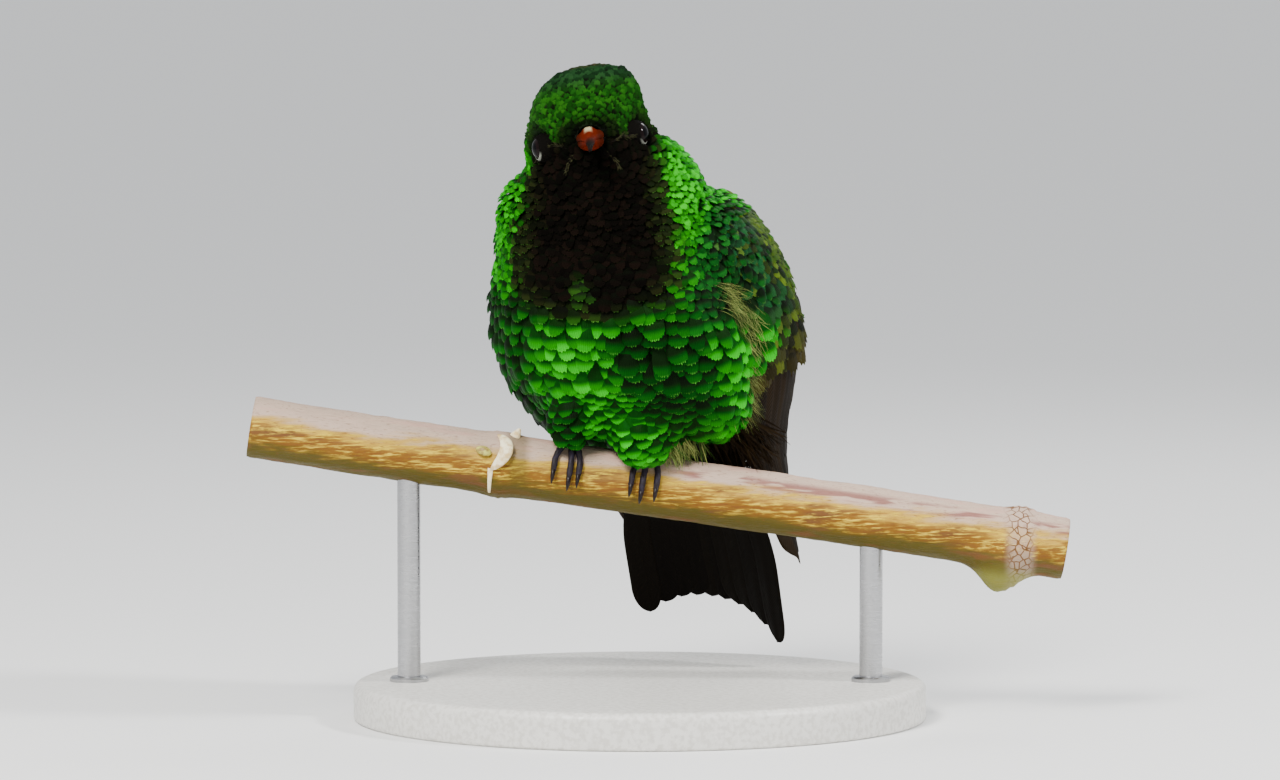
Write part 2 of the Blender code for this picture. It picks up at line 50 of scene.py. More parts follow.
# How the bird sits
BODY_YAW = 27.0
BIRD_AT = Vector((-1.6, 0.6, 0.0))
HEAD_AT = Vector((-5.6, -6.5, 64.8))
HEAD_ROLL = 8.5
BIRD = Matrix.Translation(BIRD_AT) @ Matrix.Rotation(radians(-BODY_YAW), 4, "Z")
HEAD = Matrix.Translation(HEAD_AT) @ Matrix.Rotation(radians(-HEAD_ROLL), 4, "Y")
FLESH = ("head", "neck", "trunk", "thigh_left", "thigh_right", "wing_arm_left", "wing_arm_right")

# Skin
SKIN_VOXEL = 0.42
SKIN_SWELL = 0.32
SKIN_SMOOTHING, SKIN_EVENING = 12, 4
HEAD_DEPTH, NECK_DEPTH, BODY_DEPTH, ARM_DEPTH = 0.46, 0.62, 1.05, 0.22
BODY_LINE, HEAD_LINE, ARM_LINE = (56.0, 50.0), (59.0, 62.0), (1.6, 0.5)

# Eyes and bill, in the head's frame
EYE_AT = Vector((5.0, -3.35, -2.0))
EYE_RADIUS = 1.5
EYE_AHEAD = 17.0
BILL_BASE = Vector((0.1, -7.2, -1.4))
EYES = [HEAD @ Vector((side, EYE_AT.y, EYE_AT.z)) for side in (EYE_AT.x, -EYE_AT.x)]
BILL_LENGTH = 15.2
BILL_DROP = 1.5
BILL_WIDTH, BILL_DEPTH = 2.5, 1.9
BILL_DECURVE = 0.25

# Velvet face, throat and breast as seen from the front
THROAT_TOP, THROAT_WIDEST, THROAT_LOW, THROAT_ROUND = 62.5, 52.0, 49.8, 4.0
THROAT_HALVES = (5.9, 8.9)
THROAT_MIDDLE = -4.85

# Wings: leading and trailing edge of the folded left wing as (side, back, height)
LEADING = [(8.6, -4.0, 56.0), (11.4, -5.0, 51.5), (12.6, 0.4, 46.0), (12.6, 3.6, 39.0),
           (11.9, 5.8, 32.0), (11.2, 9.8, 25.4), (10.7, 15.8, 18.9), (10.1, 21.3, 13.9)]
TRAILING = [(8.3, 5.8, 57.4), (9.6, 11.0, 54.2), (11.3, 14.2, 49.3), (12.3, 15.5, 43.5),
            (11.9, 15.0, 36.7), (11.4, 16.4, 29.0), (10.8, 19.3, 22.2), (10.2, 22.5, 15.4)]

# The part of a wing's length that coverts grow on
COVERTS_FROM, COVERTS_TO = 0.012, 0.415

# The right wing's tip goes in behind the tail
RIGHT_TUCK, TUCK_HEIGHTS = 2.3, (34.0, 14.0)

# Tail
TAIL_BASE = Vector((2.0, 9.6, 31.0))
TAIL_SWING, TAIL_DROP, TAIL_ROLL = -1.0, 61.0, 8.7
TAIL_FEATHERS = 10
TAIL_ROOT_WIDTH, TAIL_TIP_WIDTH, TAIL_WIDEST = 3.8, 9.4, 16.5
TAIL_LENGTH, TAIL_FORK, TAIL_FORK_POWER = 22.7, 2.3, 3.0
TAIL_OUTER = 0.84
TAIL_DISH = 2.6
TAIL_FEATHER_WIDTH = 4.0

# Feet, by their distance along the twig, and where each front toe goes from there
FEET = {"right": (-8.0, (-1.4, 0.35, 1.3), 93.0), "left": (0.6, (-1.6, -0.4, 1.1), 99.0)}
TOE_RADIUS, TOE_STEPS = 0.40, 32
TOE_LENGTHS = (0.90, 1.0, 0.92)

# Twig and stand
TWIG_FROM, TWIG_TO = -42.0, 46.0
TWIG_RADIUS = 3.44
TWIG_MIDDLE = Vector((-2.16, 0.0, 25.7))
TWIG_SLOPE = 0.157
TWIG_UPRIGHT = Vector((TWIG_SLOPE, 0.0, 1.0)).normalized()
TWIG_WAVE, TWIG_WAVE_LENGTH = 0.35, 22.0
FRONT = Vector((0.0, -1.0, 0.0))
LEFT_JOINT, RIGHT_JOINT = -15.1, 41.0
JOINT_SWELLS = ((LEFT_JOINT, 0.30, 1.6), (RIGHT_JOINT, 0.45, 1.5))
JOINT_WRINKLES = ((LEFT_JOINT, 0.05), (RIGHT_JOINT, 0.10))
BULGE_AT, BULGE = 39.2, 2.4
BASE_RADIUS, BASE_THICK = 31.0, 4.0
ROD_RADIUS = 1.25
ROD_AT = {"right": -25.0, "left": 25.0}

# Studio
FLOOR_HALF = 6000.0
FLOOR_PALE = (0.80, 0.80, 0.79, 1.0)
SKY, SKY_STRENGTH = (0.93, 0.96, 1.0, 1.0), 0.75
SUN_POWER, SUN_SPREAD, SUN_WAY = 1.1, 24.0, Vector((0.42, 0.62, -1.0))
LAMPS = [("key", (-150, -330, 330), (-2, 0, 45), 150, 3.2, (1.0, 0.98, 0.94)),
         ("rim", (150, 330, 300), (0, 5, 45), 150, 0.5, (1.0, 1.0, 1.0)),
         ("catch", (280, -90, 262), (0, -8, 62), 60, 1.3, (1.0, 1.0, 1.0))]

# Camera
CAMERA_LENS = 200.0
CAMERA_HEIGHT_ANGLE = 4.0
CAMERA_TARGET = Vector((0.0, 0.0, 35.6))
VIEW_WIDTH = 138.24
SENSOR = 36.0


def smooth(low, high, value):
    """0 below low, 1 above high and a smooth rise between, for numbers and arrays."""
    t = np.clip((np.asarray(value, float) - low) / (high - low), 0.0, 1.0)
    return t * t * (3.0 - 2.0 * t)


def along(points, place):
    """A point at place 0 to 1 of a smooth curve through control points."""
    rows = [Vector(point) for point in points]
    last = len(rows) - 1
    step = min(int(place * last), last - 1)
    t = place * last - step
    start, end = rows[step], rows[step + 1]
    before = rows[step - 1] if step > 0 else start * 2.0 - end
    after = rows[step + 2] if step + 2 <= last else end * 2.0 - start
    slope_in, slope_out = (end - before) / 2.0, (after - start) / 2.0
    return (start * (1 - t) ** 2 * (1 + 2 * t) + slope_in * t * (1 - t) ** 2
            + end * t * t * (3 - 2 * t) - slope_out * t * t * (1 - t))


def unit(vectors):
    """The same ways at length 1."""
    return vectors / np.maximum(np.linalg.norm(vectors, axis=-1, keepdims=True), 1e-9)


def placed(matrix, points):
    """Moves an array of points by a matrix."""
    turn = np.array(matrix)
    return points @ turn[:3, :3].T + turn[:3, 3]


# Pieces


def piece(name, mesh, material, slot, *nodes):
    """A finished piece on the root body, standing for CAD nodes."""
    made = bpy.data.objects.new(name, mesh)
    bpy.context.scene.collection.objects.link(made)
    if material:
        mesh.materials.append(material)
    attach(made, "root")
    if nodes:
        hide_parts(*nodes)
    return made


def settled(shape, name, world=Matrix.Identity(4)):
    """Turns a bmesh in millimetres into a smooth mesh in metres with its faces outwards."""
    bmesh.ops.transform(shape, matrix=Matrix.Scale(MM, 4) @ world, verts=shape.verts)
    bmesh.ops.remove_doubles(shape, verts=shape.verts, dist=1e-8)
    bmesh.ops.recalc_face_normals(shape, faces=shape.faces)
    mesh = bpy.data.meshes.new(name)
    shape.to_mesh(mesh)
    shape.free()
    mesh.shade_smooth()
    return mesh


def drawn(places, segments=16, shape=None):
    """A closed form drawn out ring by ring. Each place is a matrix that sets a unit circle in it."""
    shape = shape or bmesh.new()
    circle = bmesh.ops.create_circle(shape, cap_ends=True, segments=segments, radius=1.0)["verts"]
    bmesh.ops.transform(shape, matrix=places[0], verts=circle)
    edges = list({edge for vert in circle for edge in vert.link_edges})
    for before, after in zip(places, places[1:]):
        made = bmesh.ops.extrude_edge_only(shape, edges=edges)["geom"]
        verts = [item for item in made if isinstance(item, bmesh.types.BMVert)]
        ring = set(verts)
        edges = [item for item in made if isinstance(item, bmesh.types.BMEdge) and set(item.verts) <= ring]
        bmesh.ops.transform(shape, matrix=after @ before.inverted(), verts=verts)
    bmesh.ops.contextual_create(shape, geom=edges)
    return shape


def rings_on(route, radii, outs=None, flat=1.0):
    """Places for drawn() along a route, with a radius at each point. outs are the ways that flat squashes."""
    places = []
    normal = None
    for i, (point, radius) in enumerate(zip(route, radii)):
        ahead = (route[min(i + 1, len(route) - 1)] - route[max(i - 1, 0)]).normalized()
        if outs:
            normal = outs[i]
        normal = ahead.orthogonal() if normal is None else normal - ahead * normal.dot(ahead)
        normal = normal.normalized()
        turn = Matrix((ahead.cross(normal) * radius, normal * radius * flat, ahead * radius))
        places.append(Matrix.Translation(point) @ turn.transposed().to_4x4())
    return places


# Twig


def twig_centre(x):
    wave = TWIG_WAVE * sin((x - TWIG_MIDDLE.x) / TWIG_WAVE_LENGTH)
    return Vector((x, 0.0, TWIG_MIDDLE.z - TWIG_SLOPE * (x - TWIG_MIDDLE.x) + wave))


def twig_radius(x, angle):
    """Angle 0 is the front of the twig and 90 its top."""
    swell = sum(size * exp(-((x - joint) / reach) ** 2) for joint, size, reach in JOINT_SWELLS)
    below = (angle / pi * 180.0 + 90.0 + 180.0) % 360.0 - 180.0
    return TWIG_RADIUS + swell + BULGE * exp(-((x - BULGE_AT) / 2.3) ** 2 - (below / 52.0) ** 2)


def twig_point(x, angle, lift=0.0):
    """A point on the bark, or lifted off it."""
    reach = twig_radius(x, angle) + lift
    return twig_centre(x) + FRONT * reach * cos(angle) + TWIG_UPRIGHT * reach * sin(angle)


# Node trees


def tone(red, green, blue):
    """Linear colour from 0 to 255 screen values."""
    values = np.array([red, green, blue]) / 255.0
    linear = np.where(values <= 0.04045, values / 12.92, ((values + 0.055) / 1.055) ** 2.4)
    return (*linear.tolist(), 1.0)


class Sketch:
    """Writes a node tree. Each method adds a node and gives back its output."""

    def __init__(self, tree):
        self.tree = tree

    def node(self, kind, values=None, **settings):
        made = self.tree.nodes.new(kind)
        for name, value in settings.items():
            setattr(made, name, value)
        for socket, value in (values or {}).items():
            if isinstance(value, bpy.types.NodeSocket):
                self.tree.links.new(value, made.inputs[socket])
            else:
                made.inputs[socket].default_value = value
        return made

    def math(self, operation, *values):
        return self.node("ShaderNodeMath", dict(enumerate(values)), operation=operation).outputs[0]

    def plus(self, first, second):
        return self.math("ADD", first, second)

    def minus(self, first, second):
        return self.math("SUBTRACT", first, second)

    def times(self, first, second):
        return self.math("MULTIPLY", first, second)

    def rise(self, value, low, high, start=0.0, end=1.0):
        values = {"Value": value, "From Min": low, "From Max": high, "To Min": start, "To Max": end}
        return self.node("ShaderNodeMapRange", values, interpolation_type="SMOOTHSTEP").outputs[0]

    def mix(self, amount, first, second, way="MIX"):
        values = {0: amount, 6: first, 7: second}
        return self.node("ShaderNodeMix", values, data_type="RGBA", blend_type=way).outputs[2]

    def noise(self, vector, scale, detail=2.0, roughness=0.5):
        values = {"Vector": vector, "Scale": scale, "Detail": detail, "Roughness": roughness}
        return self.node("ShaderNodeTexNoise", values).outputs[0]

    def stretch(self, vector, scale, turn=(0, 0, 0), at=(0, 0, 0)):
        values = {"Vector": vector, "Scale": scale, "Rotation": turn, "Location": at}
        return self.node("ShaderNodeMapping", values, vector_type="POINT").outputs[0]

    def parts(self, vector):
        return self.node("ShaderNodeSeparateXYZ", {0: vector}).outputs[:]

    def attribute(self, name):
        return self.node("ShaderNodeAttribute", attribute_name=name).outputs["Vector"]

    def place(self):
        return self.node("ShaderNodeTexCoord").outputs["Object"]

    def millimetres(self, vector):
        return self.node("ShaderNodeVectorMath", {0: vector, "Scale": 1.0 / MM}, operation="SCALE").outputs[0]

    def distance(self, vector, point):
        values = {0: vector, 1: tuple(point)}
        return self.node("ShaderNodeVectorMath", values, operation="DISTANCE").outputs["Value"]

    def bump(self, height, strength, distance):
        values = {"Height": height, "Strength": strength, "Distance": distance * MM}
        return self.node("ShaderNodeBump", values).outputs[0]

    def oval(self, x, z, centre, size):
        """Distance from the centre of an oval, 1 on its rim."""
        across = self.math("DIVIDE", self.minus(x, centre[0]), size[0])
        up = self.math("DIVIDE", self.minus(z, centre[1]), size[1])
        return self.math("SQRT", self.plus(self.times(across, across), self.times(up, up)))


def group(name, inputs, outputs, write):
    """A shader node group. write(sketch, inputs) gives back the outputs in order."""
    tree = bpy.data.node_groups.new(name, "ShaderNodeTree")
    for socket, kind in inputs:
        tree.interface.new_socket(name=socket, in_out="INPUT", socket_type="NodeSocket" + kind)
    for socket, kind in outputs:
        tree.interface.new_socket(name=socket, in_out="OUTPUT", socket_type="NodeSocket" + kind)
    sketch = Sketch(tree)
    given = tree.nodes.new("NodeGroupInput").outputs
    results = write(sketch, [given[socket] for socket, _ in inputs])
    end = tree.nodes.new("NodeGroupOutput")
    for socket, value in zip(end.inputs, results):
        tree.links.new(value, socket)
    return tree


def use(sketch, tree, *values):
    """Places a node group with its own values and gives back its outputs."""
    made = sketch.node("ShaderNodeGroup", node_tree=tree)
    for socket, value in zip(made.inputs, values):
        if isinstance(value, bpy.types.NodeSocket):
            sketch.tree.links.new(value, socket)
        else:
            socket.default_value = value
    return made.outputs


def material(name, write, **plain):
    """A Principled material. write(sketch) gives the linked sockets, and plain sets the even ones."""
    made = bpy.data.materials.new(name)
    made.use_nodes = True
    shader = made.node_tree.nodes["Principled BSDF"]
    for socket, value in plain.items():
        shader.inputs[socket.replace("_", " ")].default_value = value
    for socket, value in write(Sketch(made.node_tree)).items():
        made.node_tree.links.new(value, shader.inputs[socket])
    return made


# Plumage colours
CAP = tone(20, 70, 9)
CAP_TEAL = tone(18, 48, 22)
# The cap's rim colour is painted sheen: the dark brown its iridescent feathers show edge-on
CAP_RIM_SHEEN = tone(44, 40, 24)
VELVET = tone(9, 6, 4)
CHEST_DARK = tone(20, 30, 8)
TUFT_GREEN = tone(26, 66, 14)
NECK_GREEN = tone(16, 144, 4)
BREAST_GREEN = tone(2, 58, 2)
SHOULDER_GREEN = tone(10, 56, 18)
BELLY_GREEN = tone(1, 162, 6)
# Painted shade on the belly's middle and the right thigh
BELLY_PAINTED_SHADE = tone(1, 40, 4)
FLANK_GREEN = tone(30, 88, 10)
# Painted shade on the far side of the body
FLANK_PAINTED_SHADE = tone(2, 34, 3)
BACK_GREEN = tone(36, 84, 12)
RUMP_GREEN = tone(48, 72, 16)
VENT_GREY = tone(78, 78, 44)
# Dark down at the feathers' bases, also used for painted shade and shadow
DOWN_AND_SHADE = tone(5, 7, 3)
# Pale barb tips with a painted highlight on them
FRINGE_HIGHLIGHT = tone(92, 178, 58)
COVERT_BLUE, COVERT_BRONZE = tone(12, 66, 30), tone(50, 74, 12)
COVERT_BROWN, COVERT_OLIVE, COVERT_EDGE = tone(48, 42, 12), tone(84, 106, 20), tone(84, 92, 38)
QUILL_BLACK, QUILL_BROWN, QUILL_SHAFT = tone(14, 8, 3), tone(46, 32, 10), tone(8, 5, 2)
TAIL_BLACK, TAIL_EDGE = tone(6, 4, 3), tone(18, 14, 8)
WISP_OLIVE, WISP_PALE = tone(38, 66, 18), tone(132, 138, 74)
GAPE_EDGE = tone(50, 50, 30)

# Horn, eye and foot colours
# The bill's brown serves both its lengthwise lines and the painted shade on its sides, and its pale is a
# painted highlight
BILL_RED, BILL_BROWN_AND_SHADE, BILL_TIP = tone(84, 20, 4), tone(38, 14, 5), tone(4, 3, 2)
BILL_HIGHLIGHT = tone(176, 166, 128)
EYE_IRIS, EYE_PUPIL = tone(16, 9, 9), tone(3, 3, 4)
# The pale of the lids is a painted highlight on their lower rim
LID_DARK, LID_BEAD, LID_RIM_HIGHLIGHT = tone(5, 4, 3), tone(12, 10, 7), tone(128, 130, 120)
FOOT_DARK, FOOT_BLUE, FOOT_SEAM = tone(20, 10, 13), tone(34, 27, 44), tone(8, 5, 5)
CLAW_DARK, CLAW_HORN = tone(7, 4, 4), tone(30, 20, 22)

# Wood and stand colours
BARK_LILAC, BARK_ROSE, BARK_CREAM = tone(180, 156, 138), tone(190, 150, 134), tone(174, 138, 44)
BARK_GOLD, BARK_FLECK, BARK_OLIVE = tone(120, 78, 2), tone(204, 172, 44), tone(76, 66, 1)
BARK_RUST = tone(104, 58, 12)
BARK_BROWN, BARK_WINE, BARK_GREEN = tone(98, 62, 24), tone(112, 54, 50), tone(128, 128, 54)
WOOD_PALE, WOOD_RING, WOOD_PITH = tone(214, 190, 146), tone(178, 146, 100), tone(120, 88, 56)
SCAR_CREAM, SCAR_TAN = tone(246, 234, 196), tone(206, 176, 120)
BUD_GREEN, BUD_BROWN = tone(186, 182, 84), tone(132, 108, 52)
STAND_PALE, STAND_GREY = tone(214, 212, 206), tone(196, 193, 186)


# Where the plumage's colours change, as (from, to): heights, ways back or aside of the body's middle,
# and for the cap heights over the head's middle
BACK_BEHIND = (3.0, 9.0)
RUMP_BELOW, RUMP_BEHIND = (40.0, 33.0), (6.0, 11.0)
BELLY_BELOW, BELLY_AHEAD = (47.5, 44.5), (7.5, 2.5)
# The belly's darker field, the right thigh's darkening and the far side's darkening are painted shade
FIELD_AT, FIELD_SIZE, FIELD_RIM = (12.3, 41.2), (5.6, 8.2), (1.45, 0.65)
FLANK_BELOW, FLANK_ASIDE = (37.0, 31.0), (4.0, 9.0)
THIGH_BELOW, THIGH_ASIDE = (38.5, 34.0), (-5.0, -7.5)
SHADE_BELOW, SHADE_ASIDE = (51.0, 46.0), (-9.5, -13.5)
VENT_BELOW, VENT_ASIDE = (31.0, 28.0), (2.0, 6.0)
NECK_ABOVE, NECK_AHEAD = (46.0, 51.0), (8.0, 3.0)
SHOULDER_ABOVE, SHOULDER_ASIDE, SHOULDER_AHEAD = (43.0, 47.0), (10.4, 11.8), (9.0, 5.0)
CHEST_AHEAD, CHEST_RIM, THROAT_RIM = (1.0, -3.0), (1.08, 0.88), (0.92, 0.60)
TUFT_AT, TUFT_SIZE = (-6.3, 48.3), (1.1, 1.5)
CAP_ABOVE, TEAL_ABOVE, RIM_ABOVE = (-2.0, -1.0), (2.2, 4.2), (4.9, 5.8)
LORES_REACH, LORES_BELOW = (3.4, 2.0), (0.3, -0.6)
EYE_RING = (2.7, 1.8)


def write_markings(s, given):
    """Where each colour of the plumage lies, from a place in the frame."""
    spot = s.millimetres(given[0])
    x, y, z = s.parts(spot)
    own = s.stretch(s.node("ShaderNodeVectorMath", {0: spot, 1: tuple(BIRD_AT)},
                           operation="SUBTRACT").outputs[0], (1, 1, 1), turn=(0, 0, radians(BODY_YAW)))
    side, back, _ = s.parts(own)
    drift = s.minus(s.noise(spot, 0.35, 2.0), 0.5)
    fine = s.minus(s.noise(spot, 0.9, 1.0), 0.5)

    colour = s.mix(s.rise(s.plus(back, s.times(drift, 6.0)), *BACK_BEHIND), BREAST_GREEN, BACK_GREEN)
    colour = s.mix(s.times(s.rise(z, *RUMP_BELOW), s.rise(back, *RUMP_BEHIND)), colour, RUMP_GREEN)

    # Belly with a darker field of painted shade down its middle, paler flank, painted shade on the right
    # thigh and the far side, grey vent
    belly = s.times(s.rise(z, *BELLY_BELOW), s.rise(back, *BELLY_AHEAD))
    colour = s.mix(belly, colour, BELLY_GREEN)
    leaning = s.plus(x, s.times(z, 0.25))
    field = s.oval(leaning, s.plus(z, s.times(fine, 5.0)), FIELD_AT, FIELD_SIZE)
    colour = s.mix(s.times(s.times(belly, s.rise(field, *FIELD_RIM)), 0.90), colour, BELLY_PAINTED_SHADE)
    low = s.times(s.rise(z, *FLANK_BELOW), s.rise(side, *FLANK_ASIDE))
    colour = s.mix(s.times(low, 0.6), colour, FLANK_GREEN)
    # Painted shade on the right thigh
    thigh = s.times(s.rise(z, *THIGH_BELOW), s.rise(x, *THIGH_ASIDE))
    colour = s.mix(s.times(thigh, 0.85), colour, BELLY_PAINTED_SHADE)
    # Painted shade on the far side of the body
    far = s.plus(x, s.times(fine, 4.0))
    far = s.times(s.rise(far, *SHADE_ASIDE), s.rise(z, *SHADE_BELOW))
    colour = s.mix(s.times(far, 0.8), colour, FLANK_PAINTED_SHADE)
    vent = s.times(s.rise(z, *VENT_BELOW), s.rise(side, *VENT_ASIDE))
    colour = s.mix(s.times(vent, 0.75), colour, VENT_GREY)

    # Bright sides of the neck, then the darker shoulders
    neck = s.times(s.rise(z, *NECK_ABOVE), s.rise(back, *NECK_AHEAD))
    colour = s.mix(neck, colour, NECK_GREEN)
    wide = s.plus(s.math("ABSOLUTE", side), s.times(fine, 2.0))
    shoulder = s.times(s.rise(wide, *SHOULDER_ASIDE), s.rise(z, *SHOULDER_ABOVE))
    shoulder = s.times(shoulder, s.rise(back, *SHOULDER_AHEAD))
    colour = s.mix(s.times(shoulder, 0.9), colour, SHOULDER_GREEN)

    # Velvet throat and breast
    half = s.rise(z, THROAT_TOP, THROAT_WIDEST, *THROAT_HALVES)
    across = s.math("DIVIDE", s.minus(x, THROAT_MIDDLE), half)
    below = s.math("MAXIMUM", s.math("DIVIDE", s.minus(THROAT_LOW, z), THROAT_ROUND), 0.0)
    rim = s.math("SQRT", s.plus(s.times(across, across), s.times(below, below)))
    rim = s.plus(rim, s.times(fine, 0.50))
    front = s.rise(y, *CHEST_AHEAD)
    outer = s.rise(rim, *CHEST_RIM)
    colour = s.mix(s.times(outer, front), colour, CHEST_DARK)
    throat = s.times(s.rise(rim, *THROAT_RIM), front)
    tuft = s.oval(x, z, TUFT_AT, TUFT_SIZE)
    throat = s.times(throat, s.rise(tuft, 0.7, 1.3))
    colour = s.mix(throat, colour, VELVET)
    colour = s.mix(s.times(s.rise(tuft, 1.3, 0.7, 0.0, 0.75), front), colour, TUFT_GREEN)

    # Cap, its teal upper band and a dark brown rim of painted sheen where its feathers turn edge-on, and the
    # dark face
    tilt = s.minus(s.times(s.minus(z, HEAD_AT.z), cos(radians(HEAD_ROLL))),
                   s.times(s.minus(x, HEAD_AT.x), sin(radians(HEAD_ROLL))))
    cap = s.rise(s.plus(tilt, s.times(fine, 1.0)), *CAP_ABOVE)
    green = s.mix(s.rise(tilt, *TEAL_ABOVE), CAP, CAP_TEAL)
    green = s.mix(s.rise(tilt, *RIM_ABOVE), green, CAP_RIM_SHEEN)
    colour = s.mix(cap, colour, green)
    mouth = s.distance(spot, HEAD @ (BILL_BASE + Vector((0, 0.6, -0.2))))
    lores = s.plus(mouth, s.times(fine, 1.6))
    lores = s.times(s.rise(lores, *LORES_REACH, 0.0, 0.85), s.rise(tilt, *LORES_BELOW))
    colour = s.mix(lores, colour, VELVET)
    for eye in EYES:
        colour = s.mix(s.times(s.rise(s.distance(spot, eye), *EYE_RING), 0.75), colour, VELVET)
    velvet = s.math("MAXIMUM", throat, lores)
    return colour, velvet


def write_feather(s, given):
    """Colour, gloss and relief of one feather from its root's place and its vane, which is how far
    across (-1 to 1), how far along (0 to 1) and the feather's own shade (0 to 1)."""
    root, vane = given
    colour, velvet = use(s, markings_group, root)
    across, ahead, shade = s.parts(vane)
    brightness = s.rise(shade, 0.0, 1.0, 0.40, 1.25)
    warmth = s.times(brightness, s.rise(shade, 0.3, 0.9, 1.0, 1.25))
    light = s.node("ShaderNodeCombineColor", {0: warmth, 1: brightness, 2: brightness}).outputs[0]
    colour = s.mix(1.0, colour, light, "MULTIPLY")

    # Each feather is dark towards its base, and more of it on the belly than on the neck: partly its own dark
    # down, partly painted shadow of the feather that overlaps it
    low = s.rise(s.parts(root)[2], 0.051, 0.045)
    bright_from = s.plus(0.44, s.times(low, 0.14))
    bright_to = s.plus(0.66, s.times(low, 0.19))
    colour = s.mix(s.rise(ahead, bright_to, bright_from, 0.0, 0.90), colour, DOWN_AND_SHADE)

    # Barbs fan out from the shaft, and their tips are a pale fringe with a painted highlight on it
    barbs = s.math("SINE", s.times(s.math("ARCSINE", across), 34.0))
    lit_fringe = s.times(s.rise(ahead, 0.88, 0.97), s.rise(barbs, -0.9, 0.4))
    lit_fringe = s.times(s.times(lit_fringe, s.rise(shade, 0.0, 1.0, 0.20, 0.50)),
                     s.minus(1.0, s.times(velvet, 0.97)))
    colour = s.mix(lit_fringe, colour, FRINGE_HIGHLIGHT)
    # Painted shade in the grooves between the barbs
    groove = s.times(s.rise(barbs, 0.0, -0.9), s.rise(ahead, 0.35, 0.8))
    colour = s.mix(s.times(groove, 0.18), colour, DOWN_AND_SHADE)
    metallic = s.times(s.rise(velvet, 0.6, 0.0, 0.0, 0.12), s.rise(ahead, 0.35, 0.7))
    roughness = s.rise(velvet, 0.0, 0.6, 0.55, 0.85)
    return colour, metallic, roughness, barbs


markings_group = group("plumage markings", [("Place", "Vector")], [("Colour", "Color"), ("Velvet", "Float")],
                       write_markings)
feather_group = group("feather", [("Root", "Vector"), ("Vane", "Vector")],
                      [("Colour", "Color"), ("Metallic", "Float"), ("Roughness", "Float"),
                       ("Barbs", "Float")], write_feather)


def skin_finish(s):
    colour = s.mix(0.85, use(s, markings_group, s.place())[0], DOWN_AND_SHADE)
    return {"Base Color": colour, "Normal": s.bump(s.noise(s.place(), 2600.0, 3.0), 0.4, 0.15)}


def plumage_finish(s):
    colour, metallic, roughness, barbs = use(s, feather_group, s.attribute("root"), s.attribute("vane"))
    return {"Base Color": colour, "Metallic": metallic, "Roughness": roughness,
            "Normal": s.bump(barbs, 0.22, 0.04)}


def velvet_finish(s):
    colour, _, roughness, barbs = use(s, feather_group, s.attribute("root"), s.attribute("vane"))
    return {"Base Color": colour, "Roughness": roughness, "Normal": s.bump(barbs, 0.2, 0.03)}


def covert_finish(s):
    """Blue-green near the shoulder's front, bronze towards the back, with painted shade in the fold between.
    """
    across, ahead, shade = s.parts(s.attribute("vane"))
    place, chord, _ = s.parts(s.attribute("root"))
    wander = s.plus(chord, s.rise(shade, 0.0, 1.0, -0.12, 0.12))
    colour = s.mix(s.rise(wander, 0.30, 0.62), COVERT_BLUE, COVERT_BRONZE)
    colour = s.mix(s.rise(place, 0.26, 0.40), colour, COVERT_BROWN)
    colour = s.mix(s.rise(shade, 0.72, 0.98, 0.0, 0.6), colour, COVERT_OLIVE)
    colour = s.mix(s.rise(shade, 0.45, 0.0, 0.0, 0.7), colour, DOWN_AND_SHADE)
    # Painted shade along the fold between the blue-green and the bronze
    fold = s.times(s.rise(s.math("ABSOLUTE", s.minus(wander, 0.44)), 0.10, 0.03), s.rise(place, 0.02, 0.10))
    colour = s.mix(s.times(fold, 0.8), colour, DOWN_AND_SHADE)
    # Dark towards each covert's base: its own dark down and painted shadow of the row over it
    colour = s.mix(s.rise(ahead, 0.72, 0.48, 0.0, 0.75), colour, DOWN_AND_SHADE)
    rim = s.times(s.rise(ahead, 0.88, 0.98), s.rise(shade, 0.2, 0.9, 0.10, 0.5))
    colour = s.mix(rim, colour, COVERT_EDGE)
    barbs = s.math("SINE", s.times(across, 22.0))
    return {"Base Color": colour, "Normal": s.bump(barbs, 0.3, 0.04)}


def quill_finish(dark, edge):
    """Flight feathers: dark vanes of fine slanting barbs with a paler outer edge."""

    def write(s):
        across, ahead, shade = s.parts(s.attribute("vane"))
        slant = s.minus(s.times(ahead, 330.0), s.times(s.math("ABSOLUTE", across), 30.0))
        barbs = s.math("SINE", slant)
        colour = s.mix(s.rise(shade, 0.0, 1.0, 0.0, 0.35), dark, edge)
        colour = s.mix(s.rise(s.math("ABSOLUTE", across), 0.80, 1.0, 0.0, 0.75), colour, edge)
        colour = s.mix(s.rise(s.math("ABSOLUTE", across), 0.07, 0.02, 0.0, 0.5), colour, QUILL_SHAFT)
        colour = s.mix(s.rise(barbs, -0.2, 1.0, 0.0, 0.18), colour, edge)
        return {"Base Color": colour, "Normal": s.bump(barbs, 0.25, 0.03)}

    return write


def wisp_finish(s):
    _, ahead, shade = s.parts(s.attribute("vane"))
    colour = s.mix(s.rise(shade, 0.0, 1.0), WISP_OLIVE, WISP_PALE)
    return {"Base Color": s.mix(s.rise(ahead, 0.5, 0.0), colour, DOWN_AND_SHADE)}


def gape_finish(s):
    ahead = s.parts(s.attribute("vane"))[1]
    return {"Base Color": s.mix(s.rise(ahead, 0.35, 0.8), VELVET, GAPE_EDGE)}


